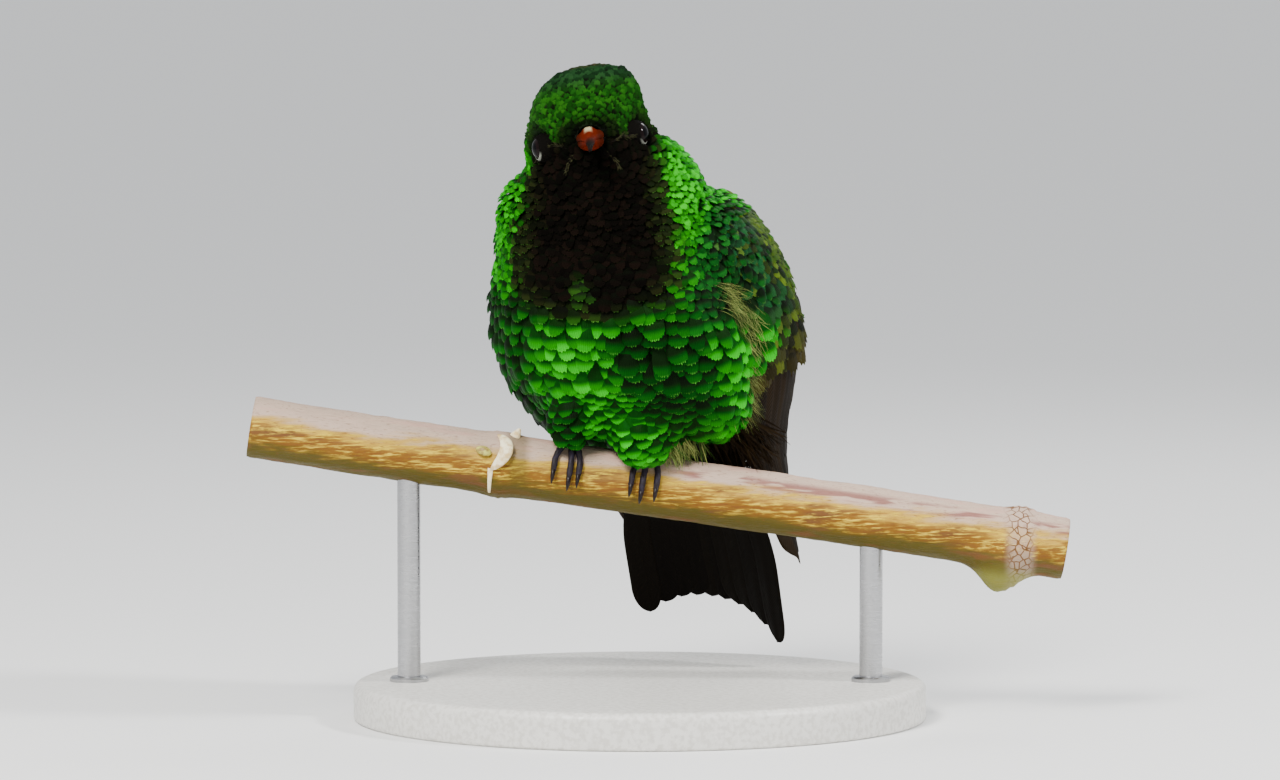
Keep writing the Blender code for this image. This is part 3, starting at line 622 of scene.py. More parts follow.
def horn_finish(s):
    """Bill: red from the base, black towards the tip, with fine lengthwise lines, painted shade on its sides
    and a painted highlight on the ridge at its base.
    """
    across, ahead, above = s.parts(s.attribute("vane"))
    spot = s.place()
    lines = s.noise(s.stretch(spot, (900, 120, 900)), 1.0, 3.0)
    colour = s.mix(s.rise(s.plus(ahead, s.rise(lines, 0.3, 0.7, -0.05, 0.05)), 0.16, 0.62),
                   BILL_RED, BILL_TIP)
    colour = s.mix(s.rise(lines, 0.35, 0.7, 0.0, 0.35), colour, BILL_BROWN_AND_SHADE)
    # Painted shade: the bill's sides darker brown
    colour = s.mix(s.rise(s.math("ABSOLUTE", across), 0.55, 1.15, 0.0, 0.7), colour, BILL_BROWN_AND_SHADE)
    # Painted highlight: a pale spot on the ridge at the bill's base
    worn = s.times(s.rise(s.math("ABSOLUTE", across), 0.55, 0.2), s.rise(ahead, 0.13, 0.05))
    colour = s.mix(s.times(worn, s.rise(above, 0.48, 0.72, 0.0, 0.8)), colour, BILL_HIGHLIGHT)
    dull = s.plus(s.rise(lines, 0.3, 0.7, -0.06, 0.06), s.rise(ahead, 0.1, 0.6, 0.45, 0.80))
    return {"Base Color": colour, "Roughness": dull, "Normal": s.bump(lines, 0.25, 0.05)}


def eye_finish(s):
    ahead = s.parts(s.attribute("vane"))[1]
    return {"Base Color": s.mix(s.rise(ahead, 0.80, 0.86), EYE_IRIS, EYE_PUPIL)}


def lid_finish(s):
    _, ring, low = s.parts(s.attribute("vane"))
    beads = s.noise(s.place(), 9000.0, 1.0)
    colour = s.mix(s.rise(beads, 0.4, 0.6, 0.0, 0.4), LID_DARK, LID_BEAD)
    # Painted highlight along the lower rim of the lids
    pale = s.times(s.rise(ring, 0.42, 0.22), s.rise(low, 0.20, 0.70, 0.0, 0.85))
    return {"Base Color": s.mix(pale, colour, LID_RIM_HIGHLIGHT), "Normal": s.bump(beads, 0.6, 0.05)}


def foot_finish(s):
    spot = s.place()
    patches = s.noise(spot, 2500.0, 2.0)
    colour = s.mix(s.rise(patches, 0.35, 0.7), FOOT_DARK, FOOT_BLUE)
    cells = s.node("ShaderNodeTexVoronoi", {"Vector": spot, "Scale": 5200.0},
                   feature="DISTANCE_TO_EDGE").outputs[0]
    seams = s.rise(cells, 0.0, 0.12)
    return {"Base Color": s.mix(s.rise(seams, 0.0, 1.0, 0.5, 0.0), colour, FOOT_SEAM),
            "Normal": s.bump(seams, 0.5, 0.04)}


def claw_finish(s):
    streaks = s.noise(s.stretch(s.place(), (4000, 1500, 900)), 1.0, 2.0)
    return {"Base Color": s.mix(streaks, CLAW_DARK, CLAW_HORN)}


def bark_finish(s):
    """Lilac-grey above, cream and golden flecks along the side, olive below; scars and cracks by place."""
    spot = s.millimetres(s.place())
    x = s.parts(spot)[0]
    above = s.parts(s.attribute("vane"))[1]
    long_noise = s.noise(s.stretch(spot, (0.16, 1.0, 1.0)), 1.0, 3.0, 0.6)
    height = s.plus(above, s.rise(long_noise, 0.25, 0.75, -0.16, 0.16))
    colour = s.mix(s.rise(height, -0.62, -0.20), BARK_OLIVE, BARK_GOLD)
    colour = s.mix(s.rise(height, -0.05, 0.28), colour, BARK_CREAM)
    colour = s.mix(s.rise(height, 0.25, 0.62), colour, BARK_LILAC)
    mottle = s.noise(s.stretch(spot, (0.10, 0.5, 0.5)), 1.3, 2.0)
    mottle = s.times(s.rise(mottle, 0.52, 0.70), s.rise(height, 0.5, 0.1))
    colour = s.mix(mottle, colour, BARK_BROWN)
    flecks = s.noise(s.stretch(spot, (0.42, 3.6, 3.6)), 1.0, 3.0, 0.6)
    where = s.times(s.rise(height, -0.55, -0.25), s.rise(height, 0.55, 0.10))
    colour = s.mix(s.times(s.rise(flecks, 0.48, 0.66), where), colour, BARK_FLECK)
    colour = s.mix(s.times(s.times(s.rise(flecks, 0.44, 0.34), where), 0.6), colour, BARK_RUST)
    pores = s.noise(s.stretch(spot, (1.6, 7.0, 7.0)), 1.0, 2.0)
    colour = s.mix(s.times(s.rise(pores, 0.60, 0.72), 0.55), colour, BARK_BROWN)
    pink = s.noise(s.stretch(spot, (0.07, 0.4, 0.4)), 1.7, 2.0)
    pink = s.times(s.rise(pink, 0.5, 0.68), s.rise(height, 0.30, 0.75, 0.0, 0.6))
    colour = s.mix(pink, colour, BARK_ROSE)
    streak = s.times(s.rise(s.math("ABSOLUTE", s.minus(above, 0.62)), 0.22, 0.05), s.rise(x, 1.0, 6.0))
    streak = s.times(streak, s.rise(s.noise(s.stretch(spot, (0.12, 1, 1)), 1.2, 2.0), 0.42, 0.56))
    colour = s.mix(s.times(streak, 0.75), colour, BARK_WINE)
    collar = s.rise(s.math("ABSOLUTE", s.minus(x, LEFT_JOINT + 2.0)), 1.6, 0.5)
    colour = s.mix(s.times(collar, 0.55), colour, BARK_OLIVE)
    ring = s.rise(s.math("ABSOLUTE", s.minus(x, RIGHT_JOINT)), 2.0, 0.6)
    cracked = s.node("ShaderNodeTexVoronoi", {"Vector": spot, "Scale": 1.1},
                     feature="DISTANCE_TO_EDGE").outputs[0]
    colour = s.mix(s.times(ring, 0.6), colour, BARK_LILAC)
    colour = s.mix(s.times(ring, s.rise(cracked, 0.10, 0.03)), colour, BARK_BROWN)
    bulge = s.distance(spot, (BULGE_AT, 0.0, 14.6))
    colour = s.mix(s.rise(bulge, 4.4, 2.6, 0.0, 0.75), colour, BARK_GREEN)
    grain = s.noise(s.stretch(spot, (0.5, 5.0, 5.0)), 1.0, 4.0, 0.6)
    relief = s.plus(grain, s.times(s.rise(flecks, 0.5, 0.65), 0.6))
    return {"Base Color": colour, "Roughness": s.rise(grain, 0.3, 0.7, 0.5, 0.72),
            "Normal": s.bump(relief, 0.55, 0.16)}


def cut_finish(s):
    """Sawn end of the twig: pale rings round a pith, with the bark's edge."""
    ring = s.parts(s.attribute("vane"))[0]
    wobble = s.rise(s.noise(s.place(), 900.0, 2.0), 0.3, 0.7, -0.03, 0.03)
    ring = s.plus(ring, wobble)
    rings = s.math("SINE", s.times(ring, 42.0))
    colour = s.mix(s.rise(rings, -0.4, 0.9), WOOD_PALE, WOOD_RING)
    colour = s.mix(s.rise(ring, 0.16, 0.10), colour, WOOD_PITH)
    colour = s.mix(s.rise(ring, 0.88, 0.93), colour, BARK_BROWN)
    return {"Base Color": colour, "Normal": s.bump(rings, 0.2, 0.05)}


def scar_finish(s):
    patch = s.noise(s.place(), 1500.0, 3.0)
    return {"Base Color": s.mix(s.rise(patch, 0.35, 0.65), SCAR_CREAM, SCAR_TAN),
            "Normal": s.bump(patch, 0.4, 0.08)}


def bud_finish(s):
    patch = s.noise(s.place(), 2200.0, 2.0)
    return {"Base Color": s.mix(s.rise(patch, 0.4, 0.65), BUD_GREEN, BUD_BROWN),
            "Normal": s.bump(patch, 0.4, 0.06)}


def base_finish(s):
    """Lacquered pale base with a faint fleck."""
    fleck = s.noise(s.place(), 1800.0, 3.0)
    return {"Base Color": s.mix(s.rise(fleck, 0.4, 0.65), STAND_PALE, STAND_GREY),
            "Roughness": s.rise(fleck, 0.3, 0.7, 0.36, 0.46), "Normal": s.bump(fleck, 0.08, 0.03)}


def rod_finish(s):
    brushed = s.noise(s.stretch(s.place(), (600, 600, 9000)), 1.0, 2.0)
    return {"Roughness": s.rise(brushed, 0.3, 0.7, 0.24, 0.40), "Normal": s.bump(brushed, 0.15, 0.01)}


skin_material = material("skin", skin_finish, Roughness=0.85, Specular_IOR_Level=0.1)
plumage_material = material("plumage", plumage_finish, Specular_IOR_Level=0.03)
velvet_material = material("velvet", velvet_finish, Specular_IOR_Level=0.02)
covert_material = material("coverts", covert_finish, Roughness=0.6, Specular_IOR_Level=0.05)
primary_material = material("primaries", quill_finish(QUILL_BLACK, QUILL_BROWN), Roughness=0.6,
                            Specular_IOR_Level=0.05)
tail_material = material("tail feathers", quill_finish(TAIL_BLACK, TAIL_EDGE), Roughness=0.6,
                         Specular_IOR_Level=0.04)
wisp_material = material("down", wisp_finish, Roughness=0.8, Specular_IOR_Level=0.1)
gape_material = material("gape feathers", gape_finish, Roughness=0.8, Specular_IOR_Level=0.05)
horn_material = material("bill horn", horn_finish, Specular_IOR_Level=0.03)
eye_material = material("eye", eye_finish, Roughness=0.09, Specular_IOR_Level=0.07)
lid_material = material("eyelid", lid_finish, Roughness=0.8, Specular_IOR_Level=0.03)
foot_material = material("foot scales", foot_finish, Roughness=0.5, Specular_IOR_Level=0.25)
claw_material = material("claw", claw_finish, Roughness=0.35, Specular_IOR_Level=0.2)
bark_material = material("bark", bark_finish, Specular_IOR_Level=0.25)
cut_material = material("sawn end", cut_finish, Roughness=0.75)
scar_material = material("leaf scar", scar_finish, Roughness=0.6)
bud_material = material("bud", bud_finish, Roughness=0.5)
base_material = material("stand base", base_finish)
rod_material = material("stand rod", rod_finish, Base_Color=(0.45, 0.45, 0.46, 1.0), Metallic=1.0)


# Skin


def mesh_arrays(mesh):
    """A mesh's points and normals as arrays."""
    points = np.empty(len(mesh.vertices) * 3, np.float32)
    mesh.vertices.foreach_get("co", points)
    normals = np.empty(len(mesh.vertices) * 3, np.float32)
    mesh.vertices.foreach_get("normal", normals)
    return points.reshape(-1, 3).astype(float), normals.reshape(-1, 3).astype(float)


def tree_of(*names):
    """A search tree over CAD nodes, in millimetres."""
    verts, faces = [], []
    for name in names:
        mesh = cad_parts[name].data
        start = len(verts)
        verts += [vert.co / MM for vert in mesh.vertices]
        faces += [[start + i for i in face.vertices] for face in mesh.polygons]
    return BVHTree.FromPolygons(verts, faces)


def largest_part(shape):
    """Leaves only the part of a bmesh with the most points."""
    seen, parts = set(), []
    for start in shape.verts:
        if start.index in seen:
            continue
        part, queue = [], [start]
        seen.add(start.index)
        while queue:
            vert = queue.pop()
            part.append(vert)
            for edge in vert.link_edges:
                other = edge.other_vert(vert)
                if other.index not in seen:
                    seen.add(other.index)
                    queue.append(other)
        parts.append(part)
    parts.sort(key=len)
    for part in parts[:-1]:
        bmesh.ops.delete(shape, geom=part, context="VERTS")


def evened(shape, times):
    """Smooths a bmesh a number of times."""
    for _ in range(times):
        bmesh.ops.smooth_vert(shape, verts=shape.verts, factor=0.5, use_axis_x=True, use_axis_y=True,
                              use_axis_z=True)


def coat_depth(points, near_arm):
    """How far the skin lies inside the solids."""
    height = points[:, 2]
    depth = NECK_DEPTH + (BODY_DEPTH - NECK_DEPTH) * smooth(*BODY_LINE, height)
    depth = depth + (HEAD_DEPTH - depth) * smooth(*HEAD_LINE, height)
    return depth + (ARM_DEPTH - depth) * near_arm


def make_skin():
    """One closed skin inside all the flesh nodes."""
    shape = bmesh.new()
    for name in FLESH:
        copy = bmesh.new()
        copy.from_mesh(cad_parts[name].data)
        bmesh.ops.remove_doubles(copy, verts=copy.verts, dist=1e-7)
        for vert in copy.verts:
            vert.co = vert.co / MM + vert.normal * SKIN_SWELL
        swollen = bpy.data.meshes.new(name)
        copy.to_mesh(swollen)
        copy.free()
        shape.from_mesh(swollen)
    whole = bpy.data.meshes.new("flesh")
    shape.to_mesh(whole)
    shape.free()
    helper = bpy.data.objects.new("flesh", whole)
    bpy.context.scene.collection.objects.link(helper)
    remesh = helper.modifiers.new("remesh", "REMESH")
    remesh.mode = "VOXEL"
    remesh.voxel_size = SKIN_VOXEL
    dense = bpy.data.meshes.new_from_object(helper.evaluated_get(bpy.context.evaluated_depsgraph_get()))
    bpy.data.objects.remove(helper)
    shape = bmesh.new()
    shape.from_mesh(dense)
    largest_part(shape)
    evened(shape, SKIN_SMOOTHING)
    shape.to_mesh(dense)
    shape.free()
    points, normals = mesh_arrays(dense)
    arms = tree_of("wing_arm_left", "wing_arm_right")
    gaps = np.array([arms.find_nearest(Vector(point))[3] for point in points])
    near_arm = smooth(*ARM_LINE, gaps)
    points -= normals * (SKIN_SWELL + coat_depth(points, near_arm))[:, None]
    dense.vertices.foreach_set("co", points.astype(np.float32).ravel())
    shape = bmesh.new()
    shape.from_mesh(dense)
    evened(shape, SKIN_EVENING)
    return shape


skin_shape = make_skin()
skin_tree = BVHTree.FromBMesh(skin_shape)
skin = piece("skin", settled(skin_shape, "skin"), skin_material, "plumage", *FLESH)
print("skin", len(skin.data.polygons))
arm_trees = {side: tree_of(f"wing_arm_{side}") for side in ("left", "right")}


# Feathers


def sheets(name, grid, patches, attributes, look, slot, *nodes):
    """Joins many equal sheets into one mesh. grid is (sheet, row, column, xyz) in millimetres."""
    count, rows, columns = grid.shape[:3]
    one = np.arange(rows * columns).reshape(rows, columns)
    quads = np.stack([one[:-1, :-1], one[:-1, 1:], one[1:, 1:], one[1:, :-1]], axis=-1).reshape(-1, 4)
    faces = (quads[None] + (np.arange(count) * rows * columns)[:, None, None]).reshape(-1)
    mesh = bpy.data.meshes.new(name)
    mesh.vertices.add(grid.size // 3)
    mesh.vertices.foreach_set("co", (grid * MM).astype(np.float32).ravel())
    mesh.loops.add(len(faces))
    mesh.loops.foreach_set("vertex_index", faces.astype(np.int32))
    mesh.polygons.add(len(faces) // 4)
    mesh.polygons.foreach_set("loop_start", np.arange(0, len(faces), 4, dtype=np.int32))
    mesh.update(calc_edges=True)
    for key, values in attributes.items():
        mesh.attributes.new(key, "FLOAT_VECTOR", "POINT").data.foreach_set(
            "vector", np.ascontiguousarray(values, np.float32).ravel())
    bake = mesh.uv_layers.new(name="OFBake")
    bake.data.foreach_set("uv", patches.reshape(-1, 2)[faces].astype(np.float32).ravel())
    mesh.shade_smooth()
    return piece(name, mesh, look, slot, *nodes)


# How large a feather is on its map, its width at the root, and how far the sizes vary
PATCH = 0.003
QUILL_END, UNEVEN = 0.38, 0.12


def unwrapped(roots):
    """Places of the roots on the skin unrolled about an upright line, spread over the whole map."""
    own = placed(BIRD.inverted(), roots)
    angle = np.arctan2(own[:, 0], -own[:, 1]) / (2 * pi)
    flat = np.stack([angle, own[:, 2]], axis=1)
    low, high = flat.min(0), flat.max(0)
    return 0.01 + (flat - low) / np.maximum(high - low, 1e-6) * 0.98


class Tract:
    """Feathers of one kind, gathered before they are made into a piece."""

    def __init__(self):
        self.roots, self.normals, self.ways, self.sizes = [], [], [], []

    def add(self, root, normal, way, length, width, lift):
        self.roots.append(root)
        self.normals.append(normal)
        self.ways.append(way)
        self.sizes.append((length, width, lift))

    def keep(self, chosen):
        """A tract with only the chosen feathers."""
        part = Tract()
        for i in np.nonzero(chosen)[0]:
            part.roots.append(self.roots[i])
            part.normals.append(self.normals[i])
            part.ways.append(self.ways[i])
            part.sizes.append(self.sizes[i])
        return part


def make_feathers(name, tract, seed, columns, rows, look=None, comb=0.07, curl=0.55, dome=0.28,
                  spread=6.0, roll=9.0):
    """Feather vanes on their roots: narrow at the base, round at the tip, with a comb of barb ends.

    comb is how deep the barb ends part, curl how far the tip bends to the skin and dome how far the
    sides do. spread and roll scatter the lie, in degrees.
    """
    draw = np.random.default_rng(seed)
    roots, normals = np.array(tract.roots, float), unit(np.array(tract.normals, float))
    ways, sizes = np.array(tract.ways, float), np.array(tract.sizes, float)
    count = len(roots)
    length = sizes[:, 0] * (1 + UNEVEN * draw.uniform(-1, 1, count))
    width = sizes[:, 1] * (1 + UNEVEN * draw.uniform(-1, 1, count))
    lift = sizes[:, 2] * (1 + 2 * UNEVEN * draw.uniform(-1, 1, count))
    ways = unit(ways - normals * (ways * normals).sum(1)[:, None])
    across = unit(np.cross(ways, normals))
    swing = np.radians(spread) * draw.normal(0, 1, count)[:, None]
    ways, across = (ways * np.cos(swing) + across * np.sin(swing),
                    across * np.cos(swing) - ways * np.sin(swing))
    lean = np.radians(roll) * draw.normal(0, 1, count)[:, None]
    normals, across = (normals * np.cos(lean) - across * np.sin(lean),
                       across * np.cos(lean) + normals * np.sin(lean))
    step = np.linspace(0, 1, rows + 1)[None, :, None]
    turn = np.linspace(-pi / 2, pi / 2, columns)[None, None, :]
    one = np.ones((count, rows + 1, columns))
    shaft = np.clip(1 - width / (2 * length), 0.25, 0.9)[:, None, None]
    wide = QUILL_END + (1 - QUILL_END) * smooth(0.0, 0.6, step)
    teeth = comb * (np.arange(columns) % 2)[None, None, :] * smooth(0.7, 1.0, step)
    torn = comb * 0.6 * draw.uniform(0, 1, (count, 1, columns)) * smooth(0.7, 1.0, step)
    u = np.sin(turn) * one
    v = step * (shaft + (1 - shaft) * np.cos(turn)) * (1 - teeth - torn) * one
    half = (width / 2)[:, None, None]
    long = length[:, None, None]
    rise = lift[:, None, None] * (v * (1 + curl) - curl * v ** 3)
    rise = rise - dome * half * wide * u ** 2 + 0.02
    grid = (roots[:, None, None, :] + across[:, None, None, :] * (half * wide * u)[..., None]
            + ways[:, None, None, :] * (long * v)[..., None]
            + normals[:, None, None, :] * rise[..., None])
    places = unwrapped(roots)[:, None, None, :]
    patch = np.stack([u * PATCH / 2, (v - 0.5) * PATCH], axis=-1)
    patches = np.clip(places + patch, 0.001, 0.999)
    shade = draw.uniform(0, 1, count)[:, None, None] * one
    vane = np.stack([u, v, shade], axis=-1)
    root = np.broadcast_to((roots * MM)[:, None, None, :], grid.shape)
    made = sheets(name, grid, patches, {"vane": vane, "root": root}, look or plumage_material, "plumage")
    print(name, count, "feathers", 2 * len(made.data.polygons), "triangles")
    return made


BILL_POINT = np.array(HEAD @ BILL_BASE)


def lie(roots, normals):
    """Which way the coat lies: back from the bill over the head, then down and round to the tail."""
    roots = np.asarray(roots, float)
    height = roots[..., 2:3]
    from_bill = unit(roots - BILL_POINT)
    turn = np.array(BIRD)[:3, :3]
    side = placed(BIRD.inverted(), roots)[..., :1]
    level = np.zeros_like(side)
    hanging = np.concatenate([side * 0.010, level + 0.28, level - 1.0], axis=-1)
    under = np.concatenate([level, level + 1.0, level - 0.35], axis=-1)
    below = smooth(-0.55, -0.9, normals[..., 2:3])
    down = unit(hanging * (1 - below) + under * below) @ turn.T
    on_head = smooth(56.0, 62.5, height)
    flow = from_bill * on_head + down * (1 - on_head)
    return unit(flow - normals * (flow * normals).sum(-1, keepdims=True))


def skin_hit(origin, way):
    """Where a ray from inside the body leaves the skin."""
    spot, normal, _, distance = skin_tree.ray_cast(Vector(origin), Vector(way))
    if spot is None:
        return None
    if normal.dot(Vector(way)) < 0:
        normal = -normal
    return np.array(spot), np.array(normal), distance


def smooth_normal(spot, reach=0.9):
    """The skin's normal, evened over its surroundings."""
    total = Vector()
    for _, normal, _, _ in skin_tree.find_nearest_range(Vector(spot), reach):
        total += normal
    return np.array(total.normalized())


def even_ring(origin, ways, gap, phase):
    """Roots evenly spaced on the line where a fan of rays leaves the skin."""
    hits = [skin_hit(origin, way) for way in ways]
    hits = [hit[0] for hit in hits if hit]
    if len(hits) < 8:
        return []
    ring = np.array(hits + hits[:1])
    steps = np.linalg.norm(np.diff(ring, axis=0), axis=1)
    travel = np.concatenate([[0], np.cumsum(steps)])
    count = max(int(round(travel[-1] / gap)), 3)
    marks = (np.arange(count) + phase) / count * travel[-1]
    return [np.array([np.interp(mark, travel, ring[:, axis]) for axis in range(3)]) for mark in marks]


def feather_gap(height):
    """How far apart the body feathers stand at a height. Their size follows from it."""
    gap = 0.70 + 0.08 * smooth(61.0, 57.0, height) + 0.26 * smooth(54.0, 47.5, height)
    gap += 0.86 * smooth(48.5, 44.0, height)
    return float(gap)


def eye_room(root, way, length):
    """Shortens a feather that would lie over an eye, and drops one that would root in it."""
    for eye in EYES:
        for part in (0.0, 0.35, 0.7, 1.0):
            if np.linalg.norm(root + way * length * part - np.array(eye)) < EYE_RADIUS - 0.12:
                if part == 0.0:
                    return 0.0
                return length * part * 0.5
    return length


# Heights where the right and left thigh's feathers end above the toes, and where the thighs part
HEM_RIGHT, HEM_LEFT, HEM_FROM = 30.0, 28.1, 34.0
THIGHS_PART = -3.6


def hem(root, way, length):
    """Ends the feathers of the thighs above the toes."""
    if root[1] > 1.0 or root[2] > HEM_FROM or way[2] > -0.2:
        return length
    low = HEM_RIGHT if root[0] < THIGHS_PART else HEM_LEFT
    return min(length, max((root[2] - low) / -way[2], 0.0) + 0.3)


# Rows of feathers: the rays that find a row, the angles and heights where the tracts begin and end,
# and how far the skin lies from the middle of the head and of the belly
HEAD_RAYS, BODY_RAYS = 120, 144
FACE_ANGLE, NAPE_ANGLE, VENT_ANGLE = 6.0, 165.0, -86.0
HEAD_LOW, HEAD_FAR, HEAD_REACH = 60.2, 11.5, 7.6
BODY_TOP, BODY_HIGH = 62.6, 62.8
BELLY_MIDDLE = Vector((0.0, 3.2, 39.0))
BELLY_DEEP, BELLY_REACH = 12.0, 11.5
BODY_WIDTH = 1.34


def grow_head(draw):
    """Rows of small feathers round the bill, from its base to the nape."""
    tract = Tract()
    centre = HEAD @ Vector((0.0, 1.0, BILL_BASE.z + 0.2))
    axis = (HEAD.to_3x3() @ Vector((0.0, -1.0, 0.0))).normalized()
    up = (HEAD.to_3x3() @ Vector((0.0, 0.0, 1.0))).normalized()
    side = axis.cross(up)
    angle, row = FACE_ANGLE, 0
    while angle < NAPE_ANGLE:
        gap = float(0.50 + 0.24 * smooth(20.0, 70.0, angle))
        ways = []
        for k in range(HEAD_RAYS):
            around = 2 * pi * k / HEAD_RAYS
            fan = up * cos(around) + side * sin(around)
            ways.append(axis * cos(radians(angle)) + fan * sin(radians(angle)))
        for spot in even_ring(centre, ways, gap * 0.9, 0.5 * (row % 2)):
            if spot[2] < HEAD_LOW or np.linalg.norm(spot - np.array(centre)) > HEAD_FAR:
                continue
            spot = spot + draw.normal(0, 0.05, 3)
            normal = smooth_normal(spot)
            way = lie(spot, normal)
            length = eye_room(spot, way, gap * 2.3)
            if length > 0.1:
                tract.add(spot, normal, way, length, min(gap * 1.35, length), 0.30)
        angle += gap * 0.62 / HEAD_REACH * 180 / pi
        row += 1
    return tract


def body_centre(height):
    """Middle of the skin at a height."""
    origin = BIRD @ Vector((0.0, -1.0 - 6.5 * float(smooth(50.0, 64.0, height)), height))
    reach = []
    for way in ((1, 0, 0), (-1, 0, 0), (0, 1, 0), (0, -1, 0)):
        hit = skin_hit(origin, way)
        reach.append(hit[2] if hit else 0.0)
    return np.array(origin) + np.array([(reach[0] - reach[1]) / 2, (reach[2] - reach[3]) / 2, 0.0])


def on_arm(spot):
    """Whether a root lies on the outside of a wing's arm, where the coverts grow."""
    if min(tree.find_nearest(Vector(spot))[3] for tree in arm_trees.values()) > 0.62:
        return False
    return min(wing.gap(spot) for wing in WINGS.values()) < 0.75


def on_thigh(spot):
    """The front of the thighs, where the feathers are short and close."""
    return spot[1] < 0.5 and 28.0 < spot[2] < 38.4 and spot[0] < 5.6


def grow_body(draw):
    """Rows round the neck and trunk, then round the belly's underside."""
    tract = Tract()
    height, row = BODY_TOP, 0
    fan = [2 * pi * k / BODY_RAYS for k in range(BODY_RAYS)]
    lowest = BELLY_MIDDLE.z
    angle = 0.0
    while angle > VENT_ANGLE:
        level = height if height > lowest else lowest + BELLY_DEEP * sin(radians(angle))
        gap = feather_gap(level)
        if height > lowest:
            origin = body_centre(height)
            ways = [(sin(a), -cos(a), 0.0) for a in fan]
            height -= gap * 0.66
        else:
            origin = np.array(BIRD @ BELLY_MIDDLE)
            tip = radians(angle)
            ways = [(sin(a) * cos(tip), -cos(a) * cos(tip), sin(tip)) for a in fan]
            steep = 1.0 - 0.30 * float(smooth(-12.0, -28.0, angle) * smooth(-80.0, -62.0, angle))
            angle -= gap * 0.62 * steep / BELLY_REACH * 180 / pi
        row += 1
        for spot in even_ring(origin, ways, gap * 0.86, 0.5 * (row % 2)):
            spot = spot + draw.normal(0, 0.07 * gap, 3)
            if on_arm(spot) or on_thigh(spot) or spot[2] > BODY_HIGH:
                continue
            normal = smooth_normal(spot)
            way = lie(spot, normal)
            length = hem(spot, way, eye_room(spot, way, gap * 2.0))
            if length > 0.3:
                lift = 0.50 + 0.34 * float(smooth(52.0, 46.0, spot[2]) + smooth(52.0, 57.0, spot[2]))
                tract.add(spot, normal, way, length, min(gap * BODY_WIDTH, length), lift)
    return tract


def fill_gaps(tract, draw):
    """Adds feathers wherever the rows leave the skin bare."""
    spots = mesh_arrays(skin.data)[0] / MM
    taken = {}

    def cell(spot):
        return tuple(np.floor(spot / 2.0).astype(int))

    def crowded(spot, reach):
        i, j, k = cell(spot)
        for a in (i - 1, i, i + 1):
            for b in (j - 1, j, j + 1):
                for c in (k - 1, k, k + 1):
                    for other in taken.get((a, b, c), ()):
                        if abs(other[2] - spot[2]) < reach and np.linalg.norm(other - spot) < reach:
                            return True
        return False

    for root in tract.roots:
        taken.setdefault(cell(root), []).append(np.asarray(root))
    added = 0
    for spot in spots[draw.permutation(len(spots))]:
        gap = feather_gap(spot[2])
        crowding, stretch = (0.44, 1.2) if on_thigh(spot) else (0.80, 2.0)
        if spot[2] > 62.0 or crowded(spot, crowding * gap) or on_arm(spot):
            continue
        normal = smooth_normal(spot)
        if normal[2] < -0.9 and spot[1] < 4.0:
            continue
        way = lie(spot, normal)
        length = hem(spot, way, eye_room(spot, way, gap * stretch))
        taken.setdefault(cell(spot), []).append(spot)
        if length > 0.3:
            tract.add(spot, normal, way, length, min(gap * BODY_WIDTH, length), 0.6)
            added += 1
    print("gaps filled", added)


def tagged(mesh, values):
    """Gives a mesh its vane attribute. values(points) works in millimetres."""
    points = mesh_arrays(mesh)[0] / MM
    mesh.attributes.new("vane", "FLOAT_VECTOR", "POINT").data.foreach_set(
        "vector", np.ascontiguousarray(values(points), np.float32).ravel())
    return mesh


def rooted(vanes, name, look, node, thick):
    """A piece of long feathers from (points, vane) grids, with a little thickness. On its map each
    feather has an upright strip of its own."""
    grid = np.stack([points for points, _ in vanes])
    vane = np.stack([marks for _, marks in vanes])
    strip = (np.arange(len(vanes)) + 0.5)[:, None, None]
    patches = np.stack([(strip + 0.46 * vane[..., 0]) / len(vanes), 0.02 + 0.96 * vane[..., 1]], axis=-1)
    made = sheets(name, grid, patches, {"vane": vane}, look, "flight_feathers", node)
    wall = made.modifiers.new("thickness", "SOLIDIFY")
    wall.thickness = thick * MM
    wall.offset = 0.0
    print(name, len(vanes), "feathers")


# Wings


WING_PLACES, WING_CHORDS = 41, 13
WING_EDGE = 0.07
RIGHT_INSET = 0.20


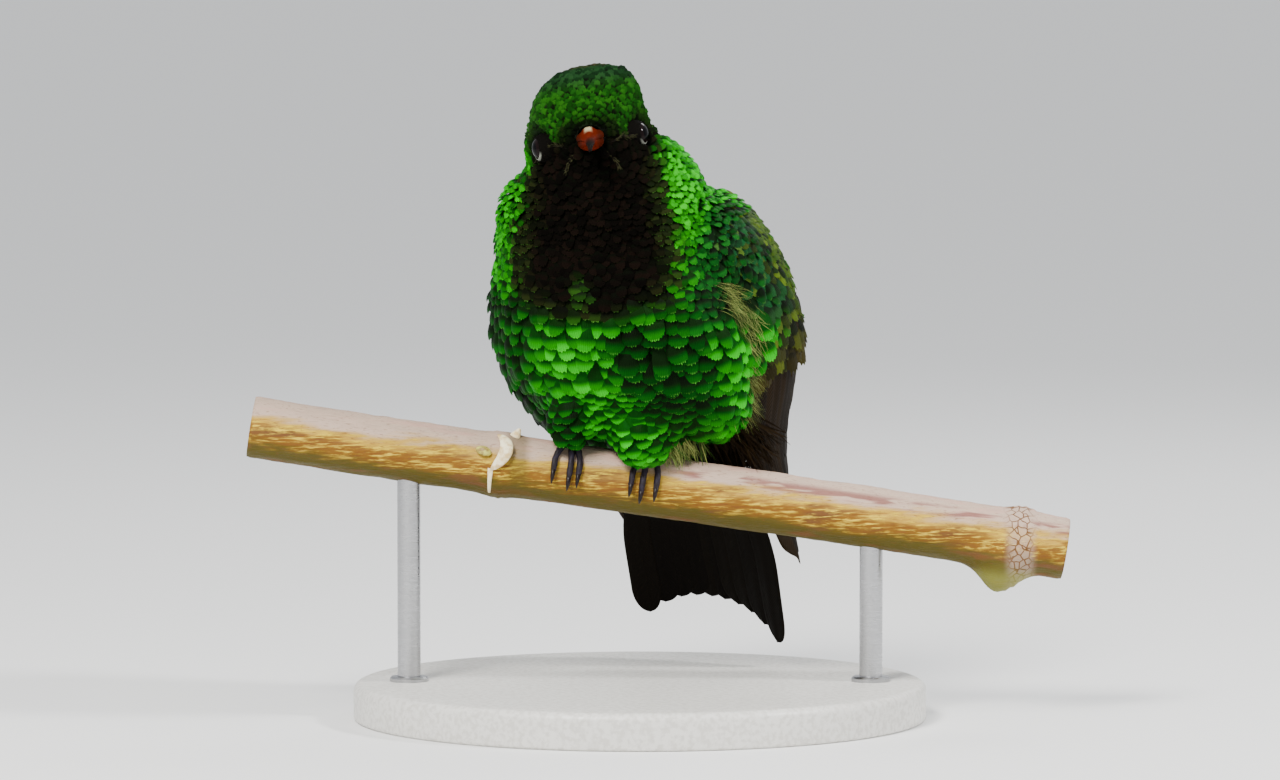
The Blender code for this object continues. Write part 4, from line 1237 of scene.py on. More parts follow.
class FoldedWing:
    """The outside of one folded wing as an even sheet over its CAD nodes."""

    def __init__(self, side):
        self.sign = 1 if side == "left" else -1
        solids = tree_of(f"wing_arm_{side}", f"wing_primaries_{side}", f"wing_secondaries_{side}")
        out = (BIRD.to_3x3() @ Vector((self.sign, 0.15, 0.0))).normalized()
        rows = []
        for place in np.linspace(0, 1, WING_PLACES):
            row = []
            first = RIGHT_INSET * float(smooth(0.5, 0.7, place)) if side == "right" else -WING_EDGE
            for k in range(WING_CHORDS):
                chord = first + (1 + WING_EDGE - first) * k / (WING_CHORDS - 1)
                spot = along(LEADING, float(place)).lerp(along(TRAILING, float(place)), chord)
                if side == "right":
                    spot.x -= RIGHT_TUCK * float(smooth(*TUCK_HEIGHTS, spot.z))
                spot.x *= self.sign
                spot = BIRD @ spot
                if 0 < k < WING_CHORDS - 1:
                    spot = solids.find_nearest(spot + out * 3.0)[0]
                row.append(list(spot))
            rows.append(row)
        sheet = np.array(rows)
        for _ in range(4):
            sheet[1:-1] = 0.5 * sheet[1:-1] + 0.25 * (sheet[:-2] + sheet[2:])
            inner = sheet[:, 1:-1]
            sheet[:, 1:-1] = 0.6 * inner + 0.2 * (sheet[:, :-2] + sheet[:, 2:])
        self.sheet = sheet

    def at(self, place, chord):
        """Points at arrays of places and chords, both 0 to 1."""
        row = np.clip(np.asarray(place, float), 0, 1) * (WING_PLACES - 1)
        column = np.clip(np.asarray(chord, float), 0, 1) * (WING_CHORDS - 1)
        i = np.minimum(row.astype(int), WING_PLACES - 2)
        j = np.minimum(column.astype(int), WING_CHORDS - 2)
        u, v = (row - i)[..., None], (column - j)[..., None]
        near = self.sheet[i, j] * (1 - v) + self.sheet[i, j + 1] * v
        far = self.sheet[i + 1, j] * (1 - v) + self.sheet[i + 1, j + 1] * v
        return near * (1 - u) + far * u

    def lay(self, place, chord):
        """Point, outward normal and the way to the tip."""
        spot = self.at(place, chord)
        ahead = unit(self.at(np.asarray(place) + 0.02, chord) - self.at(np.asarray(place) - 0.02, chord))
        across = unit(self.at(place, np.asarray(chord) + 0.06) - self.at(place, np.asarray(chord) - 0.06))
        return spot, unit(np.cross(ahead, across) * self.sign), ahead

    def width(self, place):
        return np.linalg.norm(self.at(place, 1.0) - self.at(place, 0.0), axis=-1)

    def gap(self, spot):
        """How far a point lies from the part that coverts grow on."""
        grown = self.sheet[3:int(COVERTS_TO * WING_PLACES)]
        return float(np.linalg.norm(grown - np.asarray(spot), axis=-1).min())


WINGS = {side: FoldedWing(side) for side in ("left", "right")}
VANE_ROWS, VANE_COLUMNS = 34, 9


def vane_steps(rows):
    """Steps along a long feather, closer towards its tip."""
    return 1 - (1 - np.linspace(0, 1, rows)) ** 1.7


def vane_taper(t, rounded_from, bluntness):
    """A long feather's share of its width: full, then rounded off at the tip."""
    end = ((t - rounded_from) / (1 - rounded_from)).clip(0, 1)
    return np.sqrt(np.clip(1 - end ** bluntness, 0.0, 1.0))


def vane_marks(u, t, shade):
    """The vane attribute of a long feather: how far across, how far along and its own shade."""
    across, ahead = np.meshgrid(u, t)
    return np.stack([across, ahead, np.full(across.shape, shade)], axis=-1)


def shaft_crown(u, height, width):
    """The raised shaft along the middle of a vane that falls away to its sides."""
    return height * np.exp(-(u[None, :] / width) ** 2) - 0.10 * u[None, :] ** 2


def long_vane(wing, start, end, chord, width, layer, shade, shaft, sink=0.55, rows=VANE_ROWS):
    """One flight feather laid on a folded wing, from its quill at a chord to its tip by the trailing edge."""
    t = vane_steps(rows)
    u = np.linspace(-1, 1, VANE_COLUMNS)
    place = start + (end - start) * t
    reach = np.maximum(wing.width(place), 0.5)
    taper = vane_taper(t, 0.84, 2.0) * smooth(-0.25, 0.18, t)
    half = 0.5 * width * np.maximum(taper, 0.02) / reach
    last = float(wing.width(end))
    last = max(last - 0.46 * width, last * (0.5 + 0.32 * float(smooth(0.90, 1.0, end))))
    middle = (chord * float(wing.width(start)) * (1 - t) + last * t) / reach
    sides = u[None, :] + shaft * (1 - u[None, :] ** 2)
    chord = np.clip(middle[:, None] + half[:, None] * sides, 0.0, 1.0)
    spread = np.broadcast_to(place[:, None], chord.shape)
    back = 0.004 * np.abs(u[None, :]) ** 1.5 + 0.010 * (0.5 - 0.5 * u[None, :])
    back = back * smooth(0.7, 1.0, t)[:, None]
    points, normals, _ = wing.lay(spread - back, chord)
    crown = shaft_crown(u, 0.10, 0.10) * smooth(0.0, 0.1, 1 - t)[:, None]
    sunk = layer - sink * smooth(0.4 * sink, 0.0, t)[:, None]
    return points + normals * (sunk + crown)[..., None], vane_marks(u, t, shade)


# Flight feathers of one wing, and how far apart they lie on each other
PRIMARIES, SECONDARIES = 10, 6
PRIMARY_TIPS = (1.0, 0.965, 0.925, 0.88, 0.835, 0.785, 0.735, 0.685, 0.64, 0.60)
PRIMARY_WIDTH, SECONDARY_WIDTH = 3.3, 4.2
FEATHER_LAYER = 0.055


def make_flight_feathers():
    """Primaries from the wing's arm to its tip, and the secondaries that lie over them."""
    draw = np.random.default_rng(31)
    for side, wing in WINGS.items():
        rows = []
        for k in range(PRIMARIES):
            inner = k / (PRIMARIES - 1)
            rows.append(long_vane(wing, 0.33, PRIMARY_TIPS[k], 0.11 + 0.83 * inner,
                                  PRIMARY_WIDTH * (1 + 0.22 * inner), -0.25 + FEATHER_LAYER * k,
                                  draw.uniform(), shaft=-0.35))
        rooted(rows, f"primaries_{side}", primary_material, f"wing_primaries_{side}", 0.07)
        rows = []
        for k in range(SECONDARIES):
            inner = k / (SECONDARIES - 1)
            rows.append(long_vane(wing, 0.32, 0.58 - 0.09 * inner, 0.45 + 0.50 * inner, SECONDARY_WIDTH,
                                  FEATHER_LAYER * k + 0.20, draw.uniform(), shaft=-0.2, sink=1.0,
                                  rows=24))
        rooted(rows, f"secondaries_{side}", primary_material, f"wing_secondaries_{side}", 0.07)


def make_coverts():
    """Rows of coverts over each wing's arm, longer row by row towards the quills."""
    for side, wing in WINGS.items():
        draw = np.random.default_rng(41)
        tract, marks = Tract(), []
        place, row = COVERTS_FROM, 0
        while place < COVERTS_TO:
            grown = float(smooth(0.14, 0.40, place))
            gap = 0.95 + 0.95 * grown
            width = float(wing.width(place))
            count = max(int(width / (gap * 0.86)), 3)
            for k in range(count + 1):
                chord = (k + 0.5 * (row % 2)) / count
                if chord > 1.02:
                    continue
                here = place + draw.normal(0, 0.004)
                spot, normal, ahead = wing.lay(here, min(chord, 1.0))
                across = unit(wing.at(here, min(chord + 0.05, 1.0)) - wing.at(here, max(chord - 0.05, 0.0)))
                way = unit(ahead + across * (0.25 - 0.15 * grown))
                spot = spot - normal * (0.32 - 0.10 * grown)
                tract.add(spot, normal, way, gap * (2.1 + 0.35 * grown), gap * 1.30, 0.58)
                marks.append((here, chord, 0.0))
            step = np.linalg.norm(wing.at(place + 0.01, 0.5) - wing.at(place, 0.5)) / 0.01
            place += gap * 0.62 / float(step)
            row += 1
        made = make_feathers(f"coverts_{side}", tract, 43, columns=13, rows=5, look=covert_material,
                             spread=7.0, roll=7.0)
        count = len(made.data.vertices) // len(marks)
        values = np.repeat(np.array(marks, np.float32), count, axis=0)
        made.data.attributes["root"].data.foreach_set("vector", values.ravel())


# Tail


def tail_half(down):
    """Half the tail's width at a way down it."""
    spread = np.sin(pi / 2 * np.clip(down / TAIL_WIDEST, 0, 1))
    return TAIL_ROOT_WIDTH + (TAIL_TIP_WIDTH - TAIL_ROOT_WIDTH) * spread


def tail_spot(across, down):
    """Points between the tail's two faces and the way to its underside. Across runs from -1 to 1."""
    side = across * tail_half(down)
    dish = TAIL_DISH * across * across * down / TAIL_LENGTH
    drop = radians(TAIL_DROP)
    ahead, below = np.array((0, cos(drop), -sin(drop))), np.array((0, -sin(drop), -cos(drop)))
    spot = np.array(TAIL_BASE) + down[..., None] * ahead + dish[..., None] * below
    spot[..., 0] += side + TAIL_SWING * down / TAIL_LENGTH
    spot[..., 2] -= side * np.tan(radians(TAIL_ROLL)) * down / TAIL_LENGTH
    return placed(BIRD, spot), placed(BIRD.to_3x3().to_4x4(), np.broadcast_to(below, spot.shape))


def make_tail():
    """Ten dark vanes, the outer ones longer and turned down at their sides."""
    draw = np.random.default_rng(51)
    rows = []
    for k in range(TAIL_FEATHERS):
        a = TAIL_OUTER * (-1 + 2 * k / (TAIL_FEATHERS - 1))
        length = TAIL_LENGTH + TAIL_FORK * min(abs(a) / TAIL_OUTER, 1.0) ** TAIL_FORK_POWER - 0.02
        t, u = vane_steps(VANE_ROWS), np.linspace(-1, 1, VANE_COLUMNS)
        down = length * t
        wide = TAIL_FEATHER_WIDTH * (0.55 + 0.45 * smooth(0.0, 0.55, t))
        wide = wide * (1 - 0.24 * smooth(0.70, 0.80, abs(a)))
        half = 0.5 * wide * np.maximum(vane_taper(t, 0.86, 2.2), 0.02) / tail_half(down)
        lean = -0.22 * np.sign(a) if abs(a) > 0.05 else 0.0
        across = a + half[:, None] * (u[None, :] + lean * (1 - u[None, :] ** 2))
        across = np.clip(across, -1.0, 1.0)
        spots, below = tail_spot(across, np.repeat(down[:, None], VANE_COLUMNS, axis=1))
        layer = -0.26 + 0.56 * abs(a)
        spots = spots + below * (layer + shaft_crown(u, 0.09, 0.09))[..., None]
        rows.append((spots, vane_marks(u, t, draw.uniform())))
    rooted(rows, "tail_feathers", tail_material, "tail", 0.08)


# Wisps of down and the lines of feather edges by the gape


WISP_ROWS, WISP_COLUMNS = 7, 2


def make_wisps(name, starts, look, seed, droop=0.35, curl=0.25, wild=0.25):
    """Thin loose barbs. Each start is (root, normal, way, length, width)."""
    draw = np.random.default_rng(seed)
    roots = np.array([start[0] for start in starts])
    normals = unit(np.array([start[1] for start in starts]))
    ways = np.array([start[2] for start in starts]) + draw.normal(0, wild, (len(starts), 3))
    ways = unit(ways)
    length = np.array([start[3] for start in starts]) * draw.uniform(0.6, 1.15, len(starts))
    width = np.array([start[4] for start in starts])
    across = unit(np.cross(ways, normals))
    t = np.linspace(0, 1, WISP_ROWS)[None, :, None, None]
    u = np.linspace(-0.5, 0.5, WISP_COLUMNS)[None, None, :, None]
    bend = draw.normal(0, curl, (len(starts), 1, 1, 1))
    spine = ways[:, None, None, :] * t + across[:, None, None, :] * bend * t ** 2
    spine = spine + np.array((0, 0, -1.0)) * droop * t ** 2
    grid = roots[:, None, None, :] + length[:, None, None, None] * spine
    grid = grid + across[:, None, None, :] * u * width[:, None, None, None] * (1 - t ** 3 * 0.85)
    flat = grid[..., 0] * 0
    vane = np.stack([flat + u[..., 0], flat + t[..., 0],
                     flat + draw.uniform(0, 1, len(starts))[:, None, None]], axis=-1)
    places = unwrapped(roots)[:, None, None, :]
    patch = np.stack([flat + u[..., 0], flat + t[..., 0] - 0.5], axis=-1) * PATCH
    sheets(name, grid, np.clip(places + patch, 0.001, 0.999), {"vane": vane}, look, "plumage")
    print(name, len(starts), "wisps")


def side_root(height, azimuth):
    """A root on the skin at a height, in a direction seen from above (0 the front, 90 the right of it)."""
    way = (sin(radians(azimuth)), -cos(radians(azimuth)), 0.0)
    spot = skin_hit(body_centre(height), way)[0]
    return spot, smooth_normal(spot)


def low_root(elevation, azimuth):
    """A root on the underside, by the direction from the belly's middle."""
    e, a = radians(elevation), radians(azimuth)
    spot = skin_hit(BIRD @ BELLY_MIDDLE, (sin(a) * cos(e), -cos(a) * cos(e), sin(e)))[0]
    return spot, smooth_normal(spot)


def make_down():
    """Loose barbs above and along the flank, at the vent and round the ankles, and dark ones at the vent."""
    draw = np.random.default_rng(61)
    starts = []
    for _ in range(170):
        height = draw.uniform(44.6, 47.8)
        spot, normal = side_root(height, draw.normal(49, 4))
        way = unit(np.array((0.9, -0.1, -0.25 + 0.12 * (height - 46))) + normal * 0.4)
        starts.append((spot + normal * 0.7, normal, way, 2.6, 0.035))
    for _ in range(340):
        height = draw.uniform(33.0, 45.5)
        spot, normal = side_root(height, draw.normal(64, 4))
        way = unit(np.array((0.6, 0.1, -0.75)) + normal * 0.35)
        starts.append((spot + normal * 0.6, normal, way, 2.0, 0.035))
    for _ in range(260):
        spot, normal = low_root(draw.uniform(-66, -44), draw.uniform(18, 58))
        way = unit(normal * 0.7 + np.array((0.3, 0.3, -0.4)))
        starts.append((spot + normal * 0.4, normal, way, 2.4, 0.13))
    for foot_x, _, _ in FEET.values():
        ankle = np.array(twig_point(foot_x, pi / 2, 1.6))
        for _ in range(120):
            turn = draw.uniform(0, 2 * pi)
            out = np.array((cos(turn), sin(turn), 0.0))
            spot = ankle + out * 0.7 + np.array((0, 0, draw.uniform(0.6, 1.8)))
            starts.append((spot, out, unit(out * 0.6 + np.array((0, 0, -0.9))), 1.5, 0.10))
    make_wisps("down_wisps", starts, wisp_material, 62)

    dark = []
    for _ in range(900):
        spot, normal = low_root(draw.uniform(-56, -26), draw.uniform(66, 122))
        way = unit(np.array((0.68, 0.35, -0.66)) + normal * 0.22)
        dark.append((spot + normal * 0.1, normal, way, 5.0, 0.28))
    make_wisps("vent_down", dark, primary_material, 64)


# Lines of pale-edged feathers that flare from the gape, as (x, z) in the world seen from the front
GAPE_LINES = [
    [(-7.3, 62.5), (-8.2, 62.7), (-9.0, 62.5), (-9.8, 61.8), (-10.3, 61.0)],
    [(-6.4, 62.1), (-6.8, 61.6), (-7.1, 61.1), (-7.4, 60.2)],
    [(-4.2, 62.3), (-3.5, 61.8), (-2.9, 61.3), (-2.5, 60.6)],
    [(-3.4, 62.9), (-2.4, 63.3), (-1.3, 63.3), (-0.2, 62.9)],
]


def make_gape_lines():
    """Short barbs laid on the skin along each line."""
    starts = []
    for line in GAPE_LINES:
        marks = np.linspace(0, len(line) - 1, 16 * len(line))
        for here in marks:
            x = float(np.interp(here, range(len(line)), [point[0] for point in line]))
            z = float(np.interp(here, range(len(line)), [point[1] for point in line]))
            i = min(int(here), len(line) - 2)
            spot, normal, _, _ = skin_tree.ray_cast(Vector((x, -40.0, z)), Vector((0, 1, 0)))
            if spot is None:
                continue
            way = np.array((line[i + 1][0] - line[i][0], 0.0, line[i + 1][1] - line[i][1]))
            normal = np.array(normal)
            way = unit(way - normal * way.dot(normal))
            starts.append((np.array(spot) + normal * 0.90, normal, way, 0.9, 0.06))
    make_wisps("gape_edges", starts, gape_material, 63, droop=0.0, curl=0.12, wild=0.16)


# Bill, eyes and lids


BILL = HEAD @ Matrix.Rotation(radians(BILL_DROP), 4, "X")


def bill_taper(place):
    """The bill's share of its full width and depth, place 0 at the face to 1 at the tip."""
    root = 1.0 + 0.20 * smooth(0.12, 0.0, place)
    return root - 0.55 * smooth(0.0, 0.28, place) - 0.29 * smooth(0.15, 1.0, place)


def bill_sections(upper):
    """Places for drawn() from inside the face to the tip, for the upper or lower half."""
    places = []
    marks = [-0.09, -0.04, 0.0, 0.03, 0.06, 0.10, 0.14, 0.18, 0.23, 0.28, 0.34, 0.42, 0.5, 0.6, 0.7, 0.8, 0.9,
             0.96, 0.99, 1.0]
    for place in marks:
        taper = bill_taper(place)
        tip = 1.0 if place < 0.95 else 1.0 - 0.75 * ((place - 0.95) / 0.05) ** 2
        width = BILL_WIDTH / 2 * taper * tip * (1.0 if upper else 0.93)
        depth = BILL_DEPTH * taper * tip * (0.50 if upper else 0.40)
        line = BILL_BASE + Vector((0, -BILL_LENGTH * place, 0))
        line.z -= BILL_DECURVE * place * place * (BILL_LENGTH / 10)
        line.z += (0.08 if upper else -0.36) * BILL_DEPTH * taper * 0.5
        places.append(Matrix.Translation(line) @ Matrix(((width, 0, 0, 0), (0, 0, 0.1, 0), (0, depth, 0, 0),
                                                         (0, 0, 0, 1))))
    return places


def shape_bill(shape, upper):
    """Flattens the cutting edges, raises the ridge and leaves a nostril groove on the upper half."""
    for vert in shape.verts:
        rest = BILL_BASE.y - vert.co.y
        place = rest / BILL_LENGTH
        taper = bill_taper(place)
        line = BILL_BASE.z - BILL_DECURVE * place * place * (BILL_LENGTH / 10)
        height = vert.co.z - line
        if upper and height < 0:
            vert.co.z = line + height * 0.25
        if upper and height > 0:
            across = abs(vert.co.x) / (BILL_WIDTH / 2 * float(taper))
            groove = exp(-((across - 0.62) / 0.22) ** 2) * float(smooth(0.30, 0.10, place))
            vert.co.z -= groove * 0.22
            vert.co.x *= 1 - groove * 0.08
        if not upper and height > -0.02:
            vert.co.z = line - 0.02 + (height + 0.02) * 0.2


def make_bill():
    inverse = BILL.inverted()
    for name, upper in (("bill_top", True), ("bill_bottom", False)):
        shape = drawn(bill_sections(upper), 28)
        shape_bill(shape, upper)
        mesh = settled(shape, name, BILL)

        def values(points):
            own = placed(inverse, points)
            ahead = (BILL_BASE.y - own[:, 1]) / BILL_LENGTH
            return np.stack([own[:, 0], ahead, own[:, 2] - BILL_BASE.z], axis=-1)

        tagged(mesh, values)
        piece(name, mesh, horn_material, "bill", "bill_upper" if upper else "bill_lower")


LID_OPENING, LID_OUTER = 1.10, 1.72
EYE_SUNK = 0.20


def make_eyes():
    """Glossy eyeballs in rings of beaded lids."""
    for side, sign in (("left", 1), ("right", -1)):
        out = Vector((sign * cos(radians(EYE_AHEAD)), -sin(radians(EYE_AHEAD)), 0.04)).normalized()
        turn = out.to_track_quat("Z", "Y").to_matrix().to_4x4()
        middle = Vector((EYE_AT.x * sign, EYE_AT.y, EYE_AT.z)) - out * EYE_SUNK
        place = HEAD @ Matrix.Translation(middle) @ turn
        inverse = place.inverted()
        ball = bmesh.new()
        bmesh.ops.create_uvsphere(ball, u_segments=40, v_segments=28, radius=EYE_RADIUS - 0.03)
        mesh = settled(ball, f"eyeball_{side}", place)
        tagged(mesh, lambda points: placed(inverse, points)[:, [0, 2, 1]] / EYE_RADIUS)
        piece(mesh.name, mesh, eye_material, "eyes", f"eye_{side}")

        # The lids, turned round the eye's axis: (radius, height) from the opening out under the feathers
        profile = [(1.18, 0.74), (LID_OPENING, 0.95), (LID_OPENING + 0.06, 1.03), (1.24, 0.98),
                   (1.34, 0.84), (1.44, 0.72), (1.54, 0.50), (1.64, 0.20), (LID_OUTER, -0.20), (1.70, -0.7)]
        ring = bmesh.new()
        verts = [ring.verts.new((radius, 0.0, height)) for radius, height in profile]
        edges = [ring.edges.new(pair) for pair in zip(verts, verts[1:])]
        bmesh.ops.spin(ring, geom=verts + edges, cent=(0, 0, 0), axis=(0, 0, 1), angle=2 * pi, steps=48,
                       use_merge=True)
        for vert in ring.verts:
            vert.co.y *= 0.96
            vert.co.z += 0.05 * noise.noise(vert.co * 4.0)
        mesh = settled(ring, f"eyelids_{side}", place)
        eye = place.translation

        def values(points):
            own = placed(inverse, points)
            radius = np.hypot(own[:, 0], own[:, 1])
            low = (np.array(eye)[2] - points[:, 2]) / 1.3
            return np.stack([own[:, 0], (radius - LID_OPENING) / (LID_OUTER - LID_OPENING), low], axis=-1)

        tagged(mesh, values)
        lids = piece(mesh.name, mesh, lid_material, "eyes")
        wall = lids.modifiers.new("thickness", "SOLIDIFY")
        wall.thickness = 0.08 * MM
        wall.offset = -1.0


# Feet


def toe_route(foot_x, shift, reach, start=92.0):
    """Points round the twig for one toe, and the ways out of the bark there."""
    points, outs = [], []
    for i in range(TOE_STEPS + 1):
        t = i / TOE_STEPS
        angle = radians(start - (start - 90 + reach) * t)
        x = foot_x + shift * float(smooth(0.0, 0.80, t))
        points.append(twig_point(x, angle, TOE_RADIUS * (1 - 0.22 * t) - 0.02 + 0.10 * sin(3 * pi * t) ** 2))
        outs.append((twig_point(x, angle, 1.0) - twig_point(x, angle)).normalized())
    return points, outs


def toe_radii():
    """Knuckles and the rows of scutes that ring a toe."""
    radii = []
    for i in range(TOE_STEPS + 1):
        t = i / TOE_STEPS
        knuckle = 0.10 * sin(3 * pi * t) ** 2
        scute = 0.07 * abs(sin(8.5 * pi * t)) ** 0.6
        radii.append(TOE_RADIUS * (0.90 - 0.20 * t + knuckle + scute))
    return radii


def make_feet():
    """Toes that grip the twig, shanks up into the plumage and a hooked claw on each toe."""
    for side, (foot_x, shifts, reach) in FEET.items():
        routes = [toe_route(foot_x, shift, reach * part) for shift, part in zip(shifts, TOE_LENGTHS)]
        routes.append(toe_route(foot_x, 0.15, -90.0, start=88.0))
        foot = bmesh.new()
        for points, outs in routes:
            drawn(rings_on(points, toe_radii(), outs, 0.9), 14, foot)
        ankle = twig_point(foot_x, pi / 2, TOE_RADIUS)
        drawn(rings_on([ankle + Vector((x, 0, 0)) for x in (-0.75, -0.55, -0.25, 0, 0.25, 0.55, 0.75)],
                       [0.12, 0.34, 0.46, 0.5, 0.46, 0.34, 0.12]), 14, foot)
        piece(f"toes_{side}", settled(foot, f"toes_{side}"), foot_material, "feet", f"foot_{side}")
        shank = [ankle + Vector((0, 0.2 * t, 0.1 + 4.2 * t)) for t in np.linspace(0, 1, 24)]
        radii = [0.44 + 0.05 * abs(sin(6 * pi * t)) ** 0.6 for t in np.linspace(0, 1, 24)]
        leg = drawn(rings_on(shank, radii), 14)
        piece(f"tarsus_{side}", settled(leg, f"tarsus_{side}"), foot_material, "feet", f"leg_{side}")
        for number, (points, outs) in enumerate(routes, 1):
            end, way = points[-1], (points[-1] - points[-2]).normalized()
            inward = (twig_centre(end.x) - end).normalized()
            hook = [end - way * 0.15 + way * 1.55 * t + inward * (0.46 * t * t - 0.34 * sin(pi * t))
                    for t in np.linspace(0, 1, 14)]
            widths = [0.235 * (1 - t ** 2.2) + 0.03 for t in np.linspace(0, 1, 14)]
            name = f"talon_{side}_{number}"
            piece(name, settled(drawn(rings_on(hook, widths), 12), name), claw_material, "claws",
                  f"claw_{side}_{number}")


# Twig and stand


def twig_place(x, share=1.0):
    """A place for drawn() across the twig, at a share of its radius."""
    turn = Matrix((FRONT * TWIG_RADIUS * share, TWIG_UPRIGHT * TWIG_RADIUS * share,
                   TWIG_UPRIGHT.cross(FRONT)))
    return Matrix.Translation(twig_centre(x)) @ turn.transposed().to_4x4()


def bark_relief(x, angle):
    """Lengthwise wrinkles, pores and the wrinkled rings at the joints."""
    turn = Vector((cos(angle), sin(angle), 0.0))
    relief = 0.10 * noise.noise(Vector((x * 0.22, turn.x * 2.6, turn.y * 2.6)))
    relief += 0.07 * noise.noise(Vector((x * 0.7, turn.x * 8.0, turn.y * 8.0)))
    for joint, size in JOINT_WRINKLES:
        near = exp(-((x - joint) / 1.5) ** 2)
        relief += size * near * sin((x - joint) * 7.0 + 1.3 * noise.noise(turn * 1.7))
        relief += size * near * noise.noise(Vector((x * 1.6, turn.x * 5, turn.y * 5)))
    return relief - 0.13


def make_twig():
    """The twig with its bark's relief and rounded, sawn ends."""
    marks = list(np.arange(TWIG_FROM, TWIG_TO + 0.01, 0.4))
    ends = [0.04, 0.25, 0.5, 0.75, 0.92]
    places = [twig_place(marks[0], share) for share in ends] + [twig_place(x) for x in marks]
    places += [twig_place(marks[-1], share) for share in reversed(ends)]
    shape = drawn(places, 72)
    for vert in shape.verts:
        x = vert.co.x
        for _ in range(3):
            rise = (vert.co.z - twig_centre(x).z) / TWIG_UPRIGHT.z
            x = vert.co.x - TWIG_UPRIGHT.x * rise
        angle = np.arctan2(rise, -vert.co.y)
        share = min(np.hypot(rise, vert.co.y) / TWIG_RADIUS, 1.0)
        worn = 0.12 * smooth(0.5, 0.0, min(x - TWIG_FROM, TWIG_TO - x))
        lift = (twig_radius(x, angle) + bark_relief(x, angle) - worn) * share
        vert.co = twig_centre(x) + FRONT * lift * cos(angle) + TWIG_UPRIGHT * lift * sin(angle)
    mesh = settled(shape, "twig")

    def values(points):
        x = points[:, 0]
        wave = TWIG_WAVE * np.sin((x - TWIG_MIDDLE.x) / TWIG_WAVE_LENGTH)
        rise = points[:, 2] - (TWIG_MIDDLE.z - TWIG_SLOPE * (x - TWIG_MIDDLE.x) + wave)
        share = np.hypot(rise, points[:, 1]) / TWIG_RADIUS
        return np.stack([share, rise / TWIG_RADIUS, points[:, 1] / TWIG_RADIUS], axis=-1)

    tagged(mesh, values)
    mesh.materials.append(bark_material)
    mesh.materials.append(cut_material)
    for face in mesh.polygons:
        x = face.center.x / MM
        face.material_index = int(abs(face.normal.x) > 0.85 and min(x - TWIG_FROM, TWIG_TO - x) < 0.8)
        face.use_smooth = face.material_index == 0
    piece("twig", mesh, None, "bark", "perch")


def on_twig(x, angle, lift):
    """As twig_point, with the angle in degrees."""
    return twig_point(x, radians(angle), lift)


def twig_out(x, angle):
    """The way out of the bark at an angle in degrees."""
    return (on_twig(x, angle, 1.0) - on_twig(x, angle, 0.0)).normalized()


def strap(name, route, widths, flat, look, segments=14):
    """A flattened ribbon or lump that hugs the twig. The route is (x, angle, lift)."""
    points = [on_twig(*stop) for stop in route]
    outs = [twig_out(x, angle) for x, angle, _ in route]
    piece(name, settled(drawn(rings_on(points, widths, outs, flat), segments), name), look, "bark")


def make_scar():
    """The leaf scar, bud, stub and seam at the left joint."""
    t = np.linspace(0, 1, 14)
    crescent = [(LEFT_JOINT - 0.9 + 1.5 * sin(pi * k * 0.9) - 0.3 * k, -6 + 66 * k, 0.16 + 0.35 * sin(pi * k))
                for k in t]
    strap("leaf_scar", crescent, [0.12 + 0.62 * sin(pi * k) ** 0.7 for k in t], 0.34, scar_material)
    seam = [(LEFT_JOINT - 0.95 + 0.25 * k, -4 - 50 * k, 0.02) for k in t]
    strap("scar_seam", seam, [0.30 - 0.16 * k for k in t], 0.4, scar_material)
    bud = [(LEFT_JOINT - 1.1 - 1.7 * k, 20 + 6 * k, 0.10 + 0.25 * sin(pi * k)) for k in t]
    strap("bud", bud, [0.10 + 0.42 * sin(pi * k) ** 0.6 for k in t], 0.8, bud_material)
    stub = [on_twig(LEFT_JOINT + 1.1, 74, -0.3) + Vector((0.55 * k, 0.0, 0.95 * k)) for k in t]
    shape = drawn(rings_on(stub, [0.62 - 0.50 * k ** 1.5 for k in t]), 12)
    piece("stub", settled(shape, "stub"), scar_material, "bark")


def make_stand():
    """A round base with a soft upper edge, and two posts up into the twig."""
    edge = 0.9
    profile = [(0.0, 0.0), (BASE_RADIUS - 0.4, 0.0)]
    profile += [(BASE_RADIUS - 0.4 + 0.4 * sin(a), 0.4 - 0.4 * cos(a)) for a in np.linspace(0.3, pi / 2, 4)]
    profile += [(BASE_RADIUS - edge + edge * cos(a), BASE_THICK - edge + edge * sin(a))
                for a in np.linspace(0, pi / 2, 9)]
    profile += [(BASE_RADIUS - 4.0, BASE_THICK), (0.0, BASE_THICK)]
    disc = bmesh.new()
    verts = [disc.verts.new((radius, 0.0, height)) for radius, height in profile]
    edges = [disc.edges.new(pair) for pair in zip(verts, verts[1:])]
    bmesh.ops.spin(disc, geom=verts + edges, cent=(0, 0, 0), axis=(0, 0, 1), angle=2 * pi, steps=128,
                   use_merge=True)
    piece("stand_disc", settled(disc, "stand_disc"), base_material, "stand_base", "stand_base")
    for side, x in ROD_AT.items():
        top = twig_point(x, -pi / 2).z + 0.6
        stops = [(BASE_THICK - 1.0, 2.1), (BASE_THICK + 0.35, 2.1), (BASE_THICK + 0.55, 1.9),
                 (BASE_THICK + 0.6, ROD_RADIUS), (top - 0.05, ROD_RADIUS), (top, ROD_RADIUS - 0.05)]
        places = [Matrix.Translation((x, 0, height)) @ Matrix.Diagonal((radius, radius, 1, 1))
                  for height, radius in stops]
        mesh = settled(drawn(places, 40), f"stand_post_{side}")
        mesh.set_sharp_from_angle(angle=radians(40))
        piece(mesh.name, mesh, rod_material, "stand_rods", f"stand_rod_{side}")


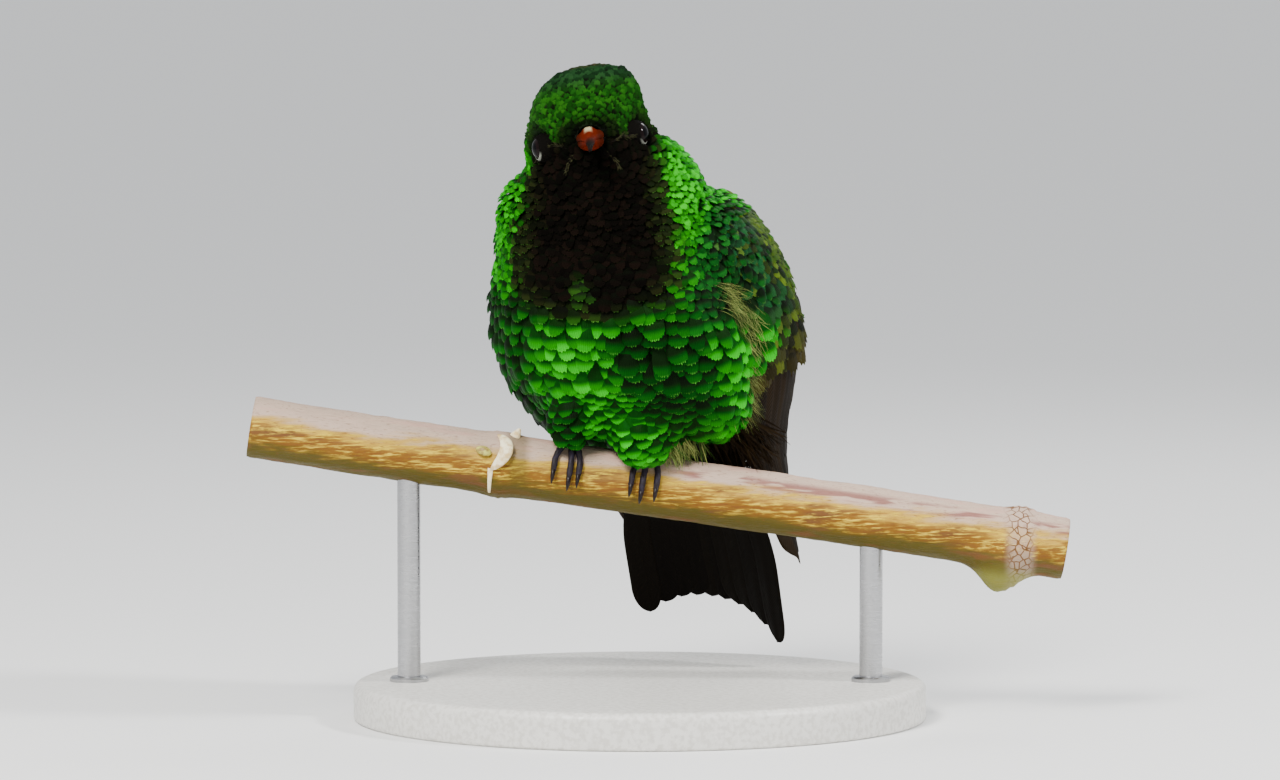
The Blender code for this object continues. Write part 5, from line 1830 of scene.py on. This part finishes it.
def in_throat(roots):
    """The velvet face, throat and breast, which keep a dull finish."""
    x, y, z = np.array(roots).T
    half = THROAT_HALVES[0] + (THROAT_HALVES[1] - THROAT_HALVES[0]) * smooth(THROAT_TOP, THROAT_WIDEST, z)
    rim = np.hypot((x - THROAT_MIDDLE) / half, np.maximum((THROAT_LOW - z) / THROAT_ROUND, 0.0))
    return (rim < 0.97) & (y < -1.0) & (z < HEAD_AT.z - 1.2)


def make_plumage():
    """The tracts of the head and body, each split by finish and by the size of its feathers."""
    draw = np.random.default_rng(7)
    head, body = grow_head(draw), grow_body(draw)
    fill_gaps(body, draw)
    throat = in_throat(head.roots)
    make_feathers("plumage_chin", head.keep(throat), 11, columns=9, rows=3, comb=0.10, look=velvet_material,
                  roll=5.0)
    make_feathers("plumage_head", head.keep(~throat), 12, columns=9, rows=3, comb=0.10, roll=6.0)
    own = placed(BIRD.inverted(), np.array(body.roots))
    throat = in_throat(body.roots)
    upper, front = own[:, 2] > 49.0, own[:, 1] < 4.0
    make_feathers("plumage_throat", body.keep(throat), 13, columns=11, rows=4, look=velvet_material,
                  curl=1.1, dome=0.22, roll=5.0)
    make_feathers("plumage_neck", body.keep(~throat & upper), 14, columns=11, rows=4, curl=1.0, dome=0.34)
    make_feathers("plumage_belly", body.keep(~throat & ~upper & front), 15, columns=21, rows=7, comb=0.05,
                  curl=1.15, dome=0.46, roll=6.0)
    make_feathers("plumage_back", body.keep(~throat & ~upper & ~front), 16, columns=13, rows=5)


make_plumage()
make_coverts()
make_flight_feathers()
make_tail()
make_down()
make_gape_lines()
make_bill()
make_eyes()
make_feet()
make_twig()
make_scar()
make_stand()

# Camera, floor and light


def set_camera():
    """A long lens in front, level with the bird and a little above it."""
    data = bpy.data.cameras.new("camera")
    data.lens = CAMERA_LENS
    data.sensor_width = SENSOR
    data.clip_start, data.clip_end = 0.01, 50.0
    camera = bpy.data.objects.new("camera", data)
    bpy.context.scene.collection.objects.link(camera)
    away = VIEW_WIDTH / SENSOR * CAMERA_LENS
    lift = radians(CAMERA_HEIGHT_ANGLE)
    camera.location = (CAMERA_TARGET + Vector((0.0, -cos(lift), sin(lift))) * away) * MM
    camera.rotation_euler = (radians(90.0 - CAMERA_HEIGHT_ANGLE), 0.0, 0.0)
    bpy.context.scene.camera = camera


def area_light(name, place, target, size, power, colour):
    """A round soft lamp that looks at a target."""
    data = bpy.data.lights.new(name, "AREA")
    data.shape = "DISK"
    data.size = size * MM
    data.energy = power
    data.color = colour
    made = bpy.data.objects.new(name, data)
    made.location = Vector(place) * MM
    made.rotation_euler = (Vector(target) - Vector(place)).to_track_quat("-Z", "Y").to_euler()
    bpy.context.scene.collection.objects.link(made)


def set_stage():
    floor_shape = bmesh.new()
    bmesh.ops.create_grid(floor_shape, x_segments=1, y_segments=1, size=FLOOR_HALF)
    floor_mesh = settled(floor_shape, "floor")
    floor_mesh.materials.append(material("floor", lambda s: {}, Base_Color=FLOOR_PALE, Roughness=0.9))
    floor = bpy.data.objects.new("floor", floor_mesh)
    bpy.context.scene.collection.objects.link(floor)
    world = bpy.data.worlds.new("studio")
    world.use_nodes = True
    world.node_tree.nodes["Background"].inputs["Color"].default_value = SKY
    world.node_tree.nodes["Background"].inputs["Strength"].default_value = SKY_STRENGTH
    bpy.context.scene.world = world
    sun = bpy.data.lights.new("sun", "SUN")
    sun.energy = SUN_POWER
    sun.angle = radians(SUN_SPREAD)
    lamp = bpy.data.objects.new("sun", sun)
    lamp.rotation_euler = SUN_WAY.to_track_quat("-Z", "Y").to_euler()
    bpy.context.scene.collection.objects.link(lamp)
    for lamp_facts in LAMPS:
        area_light(*lamp_facts)


set_camera()
set_stage()
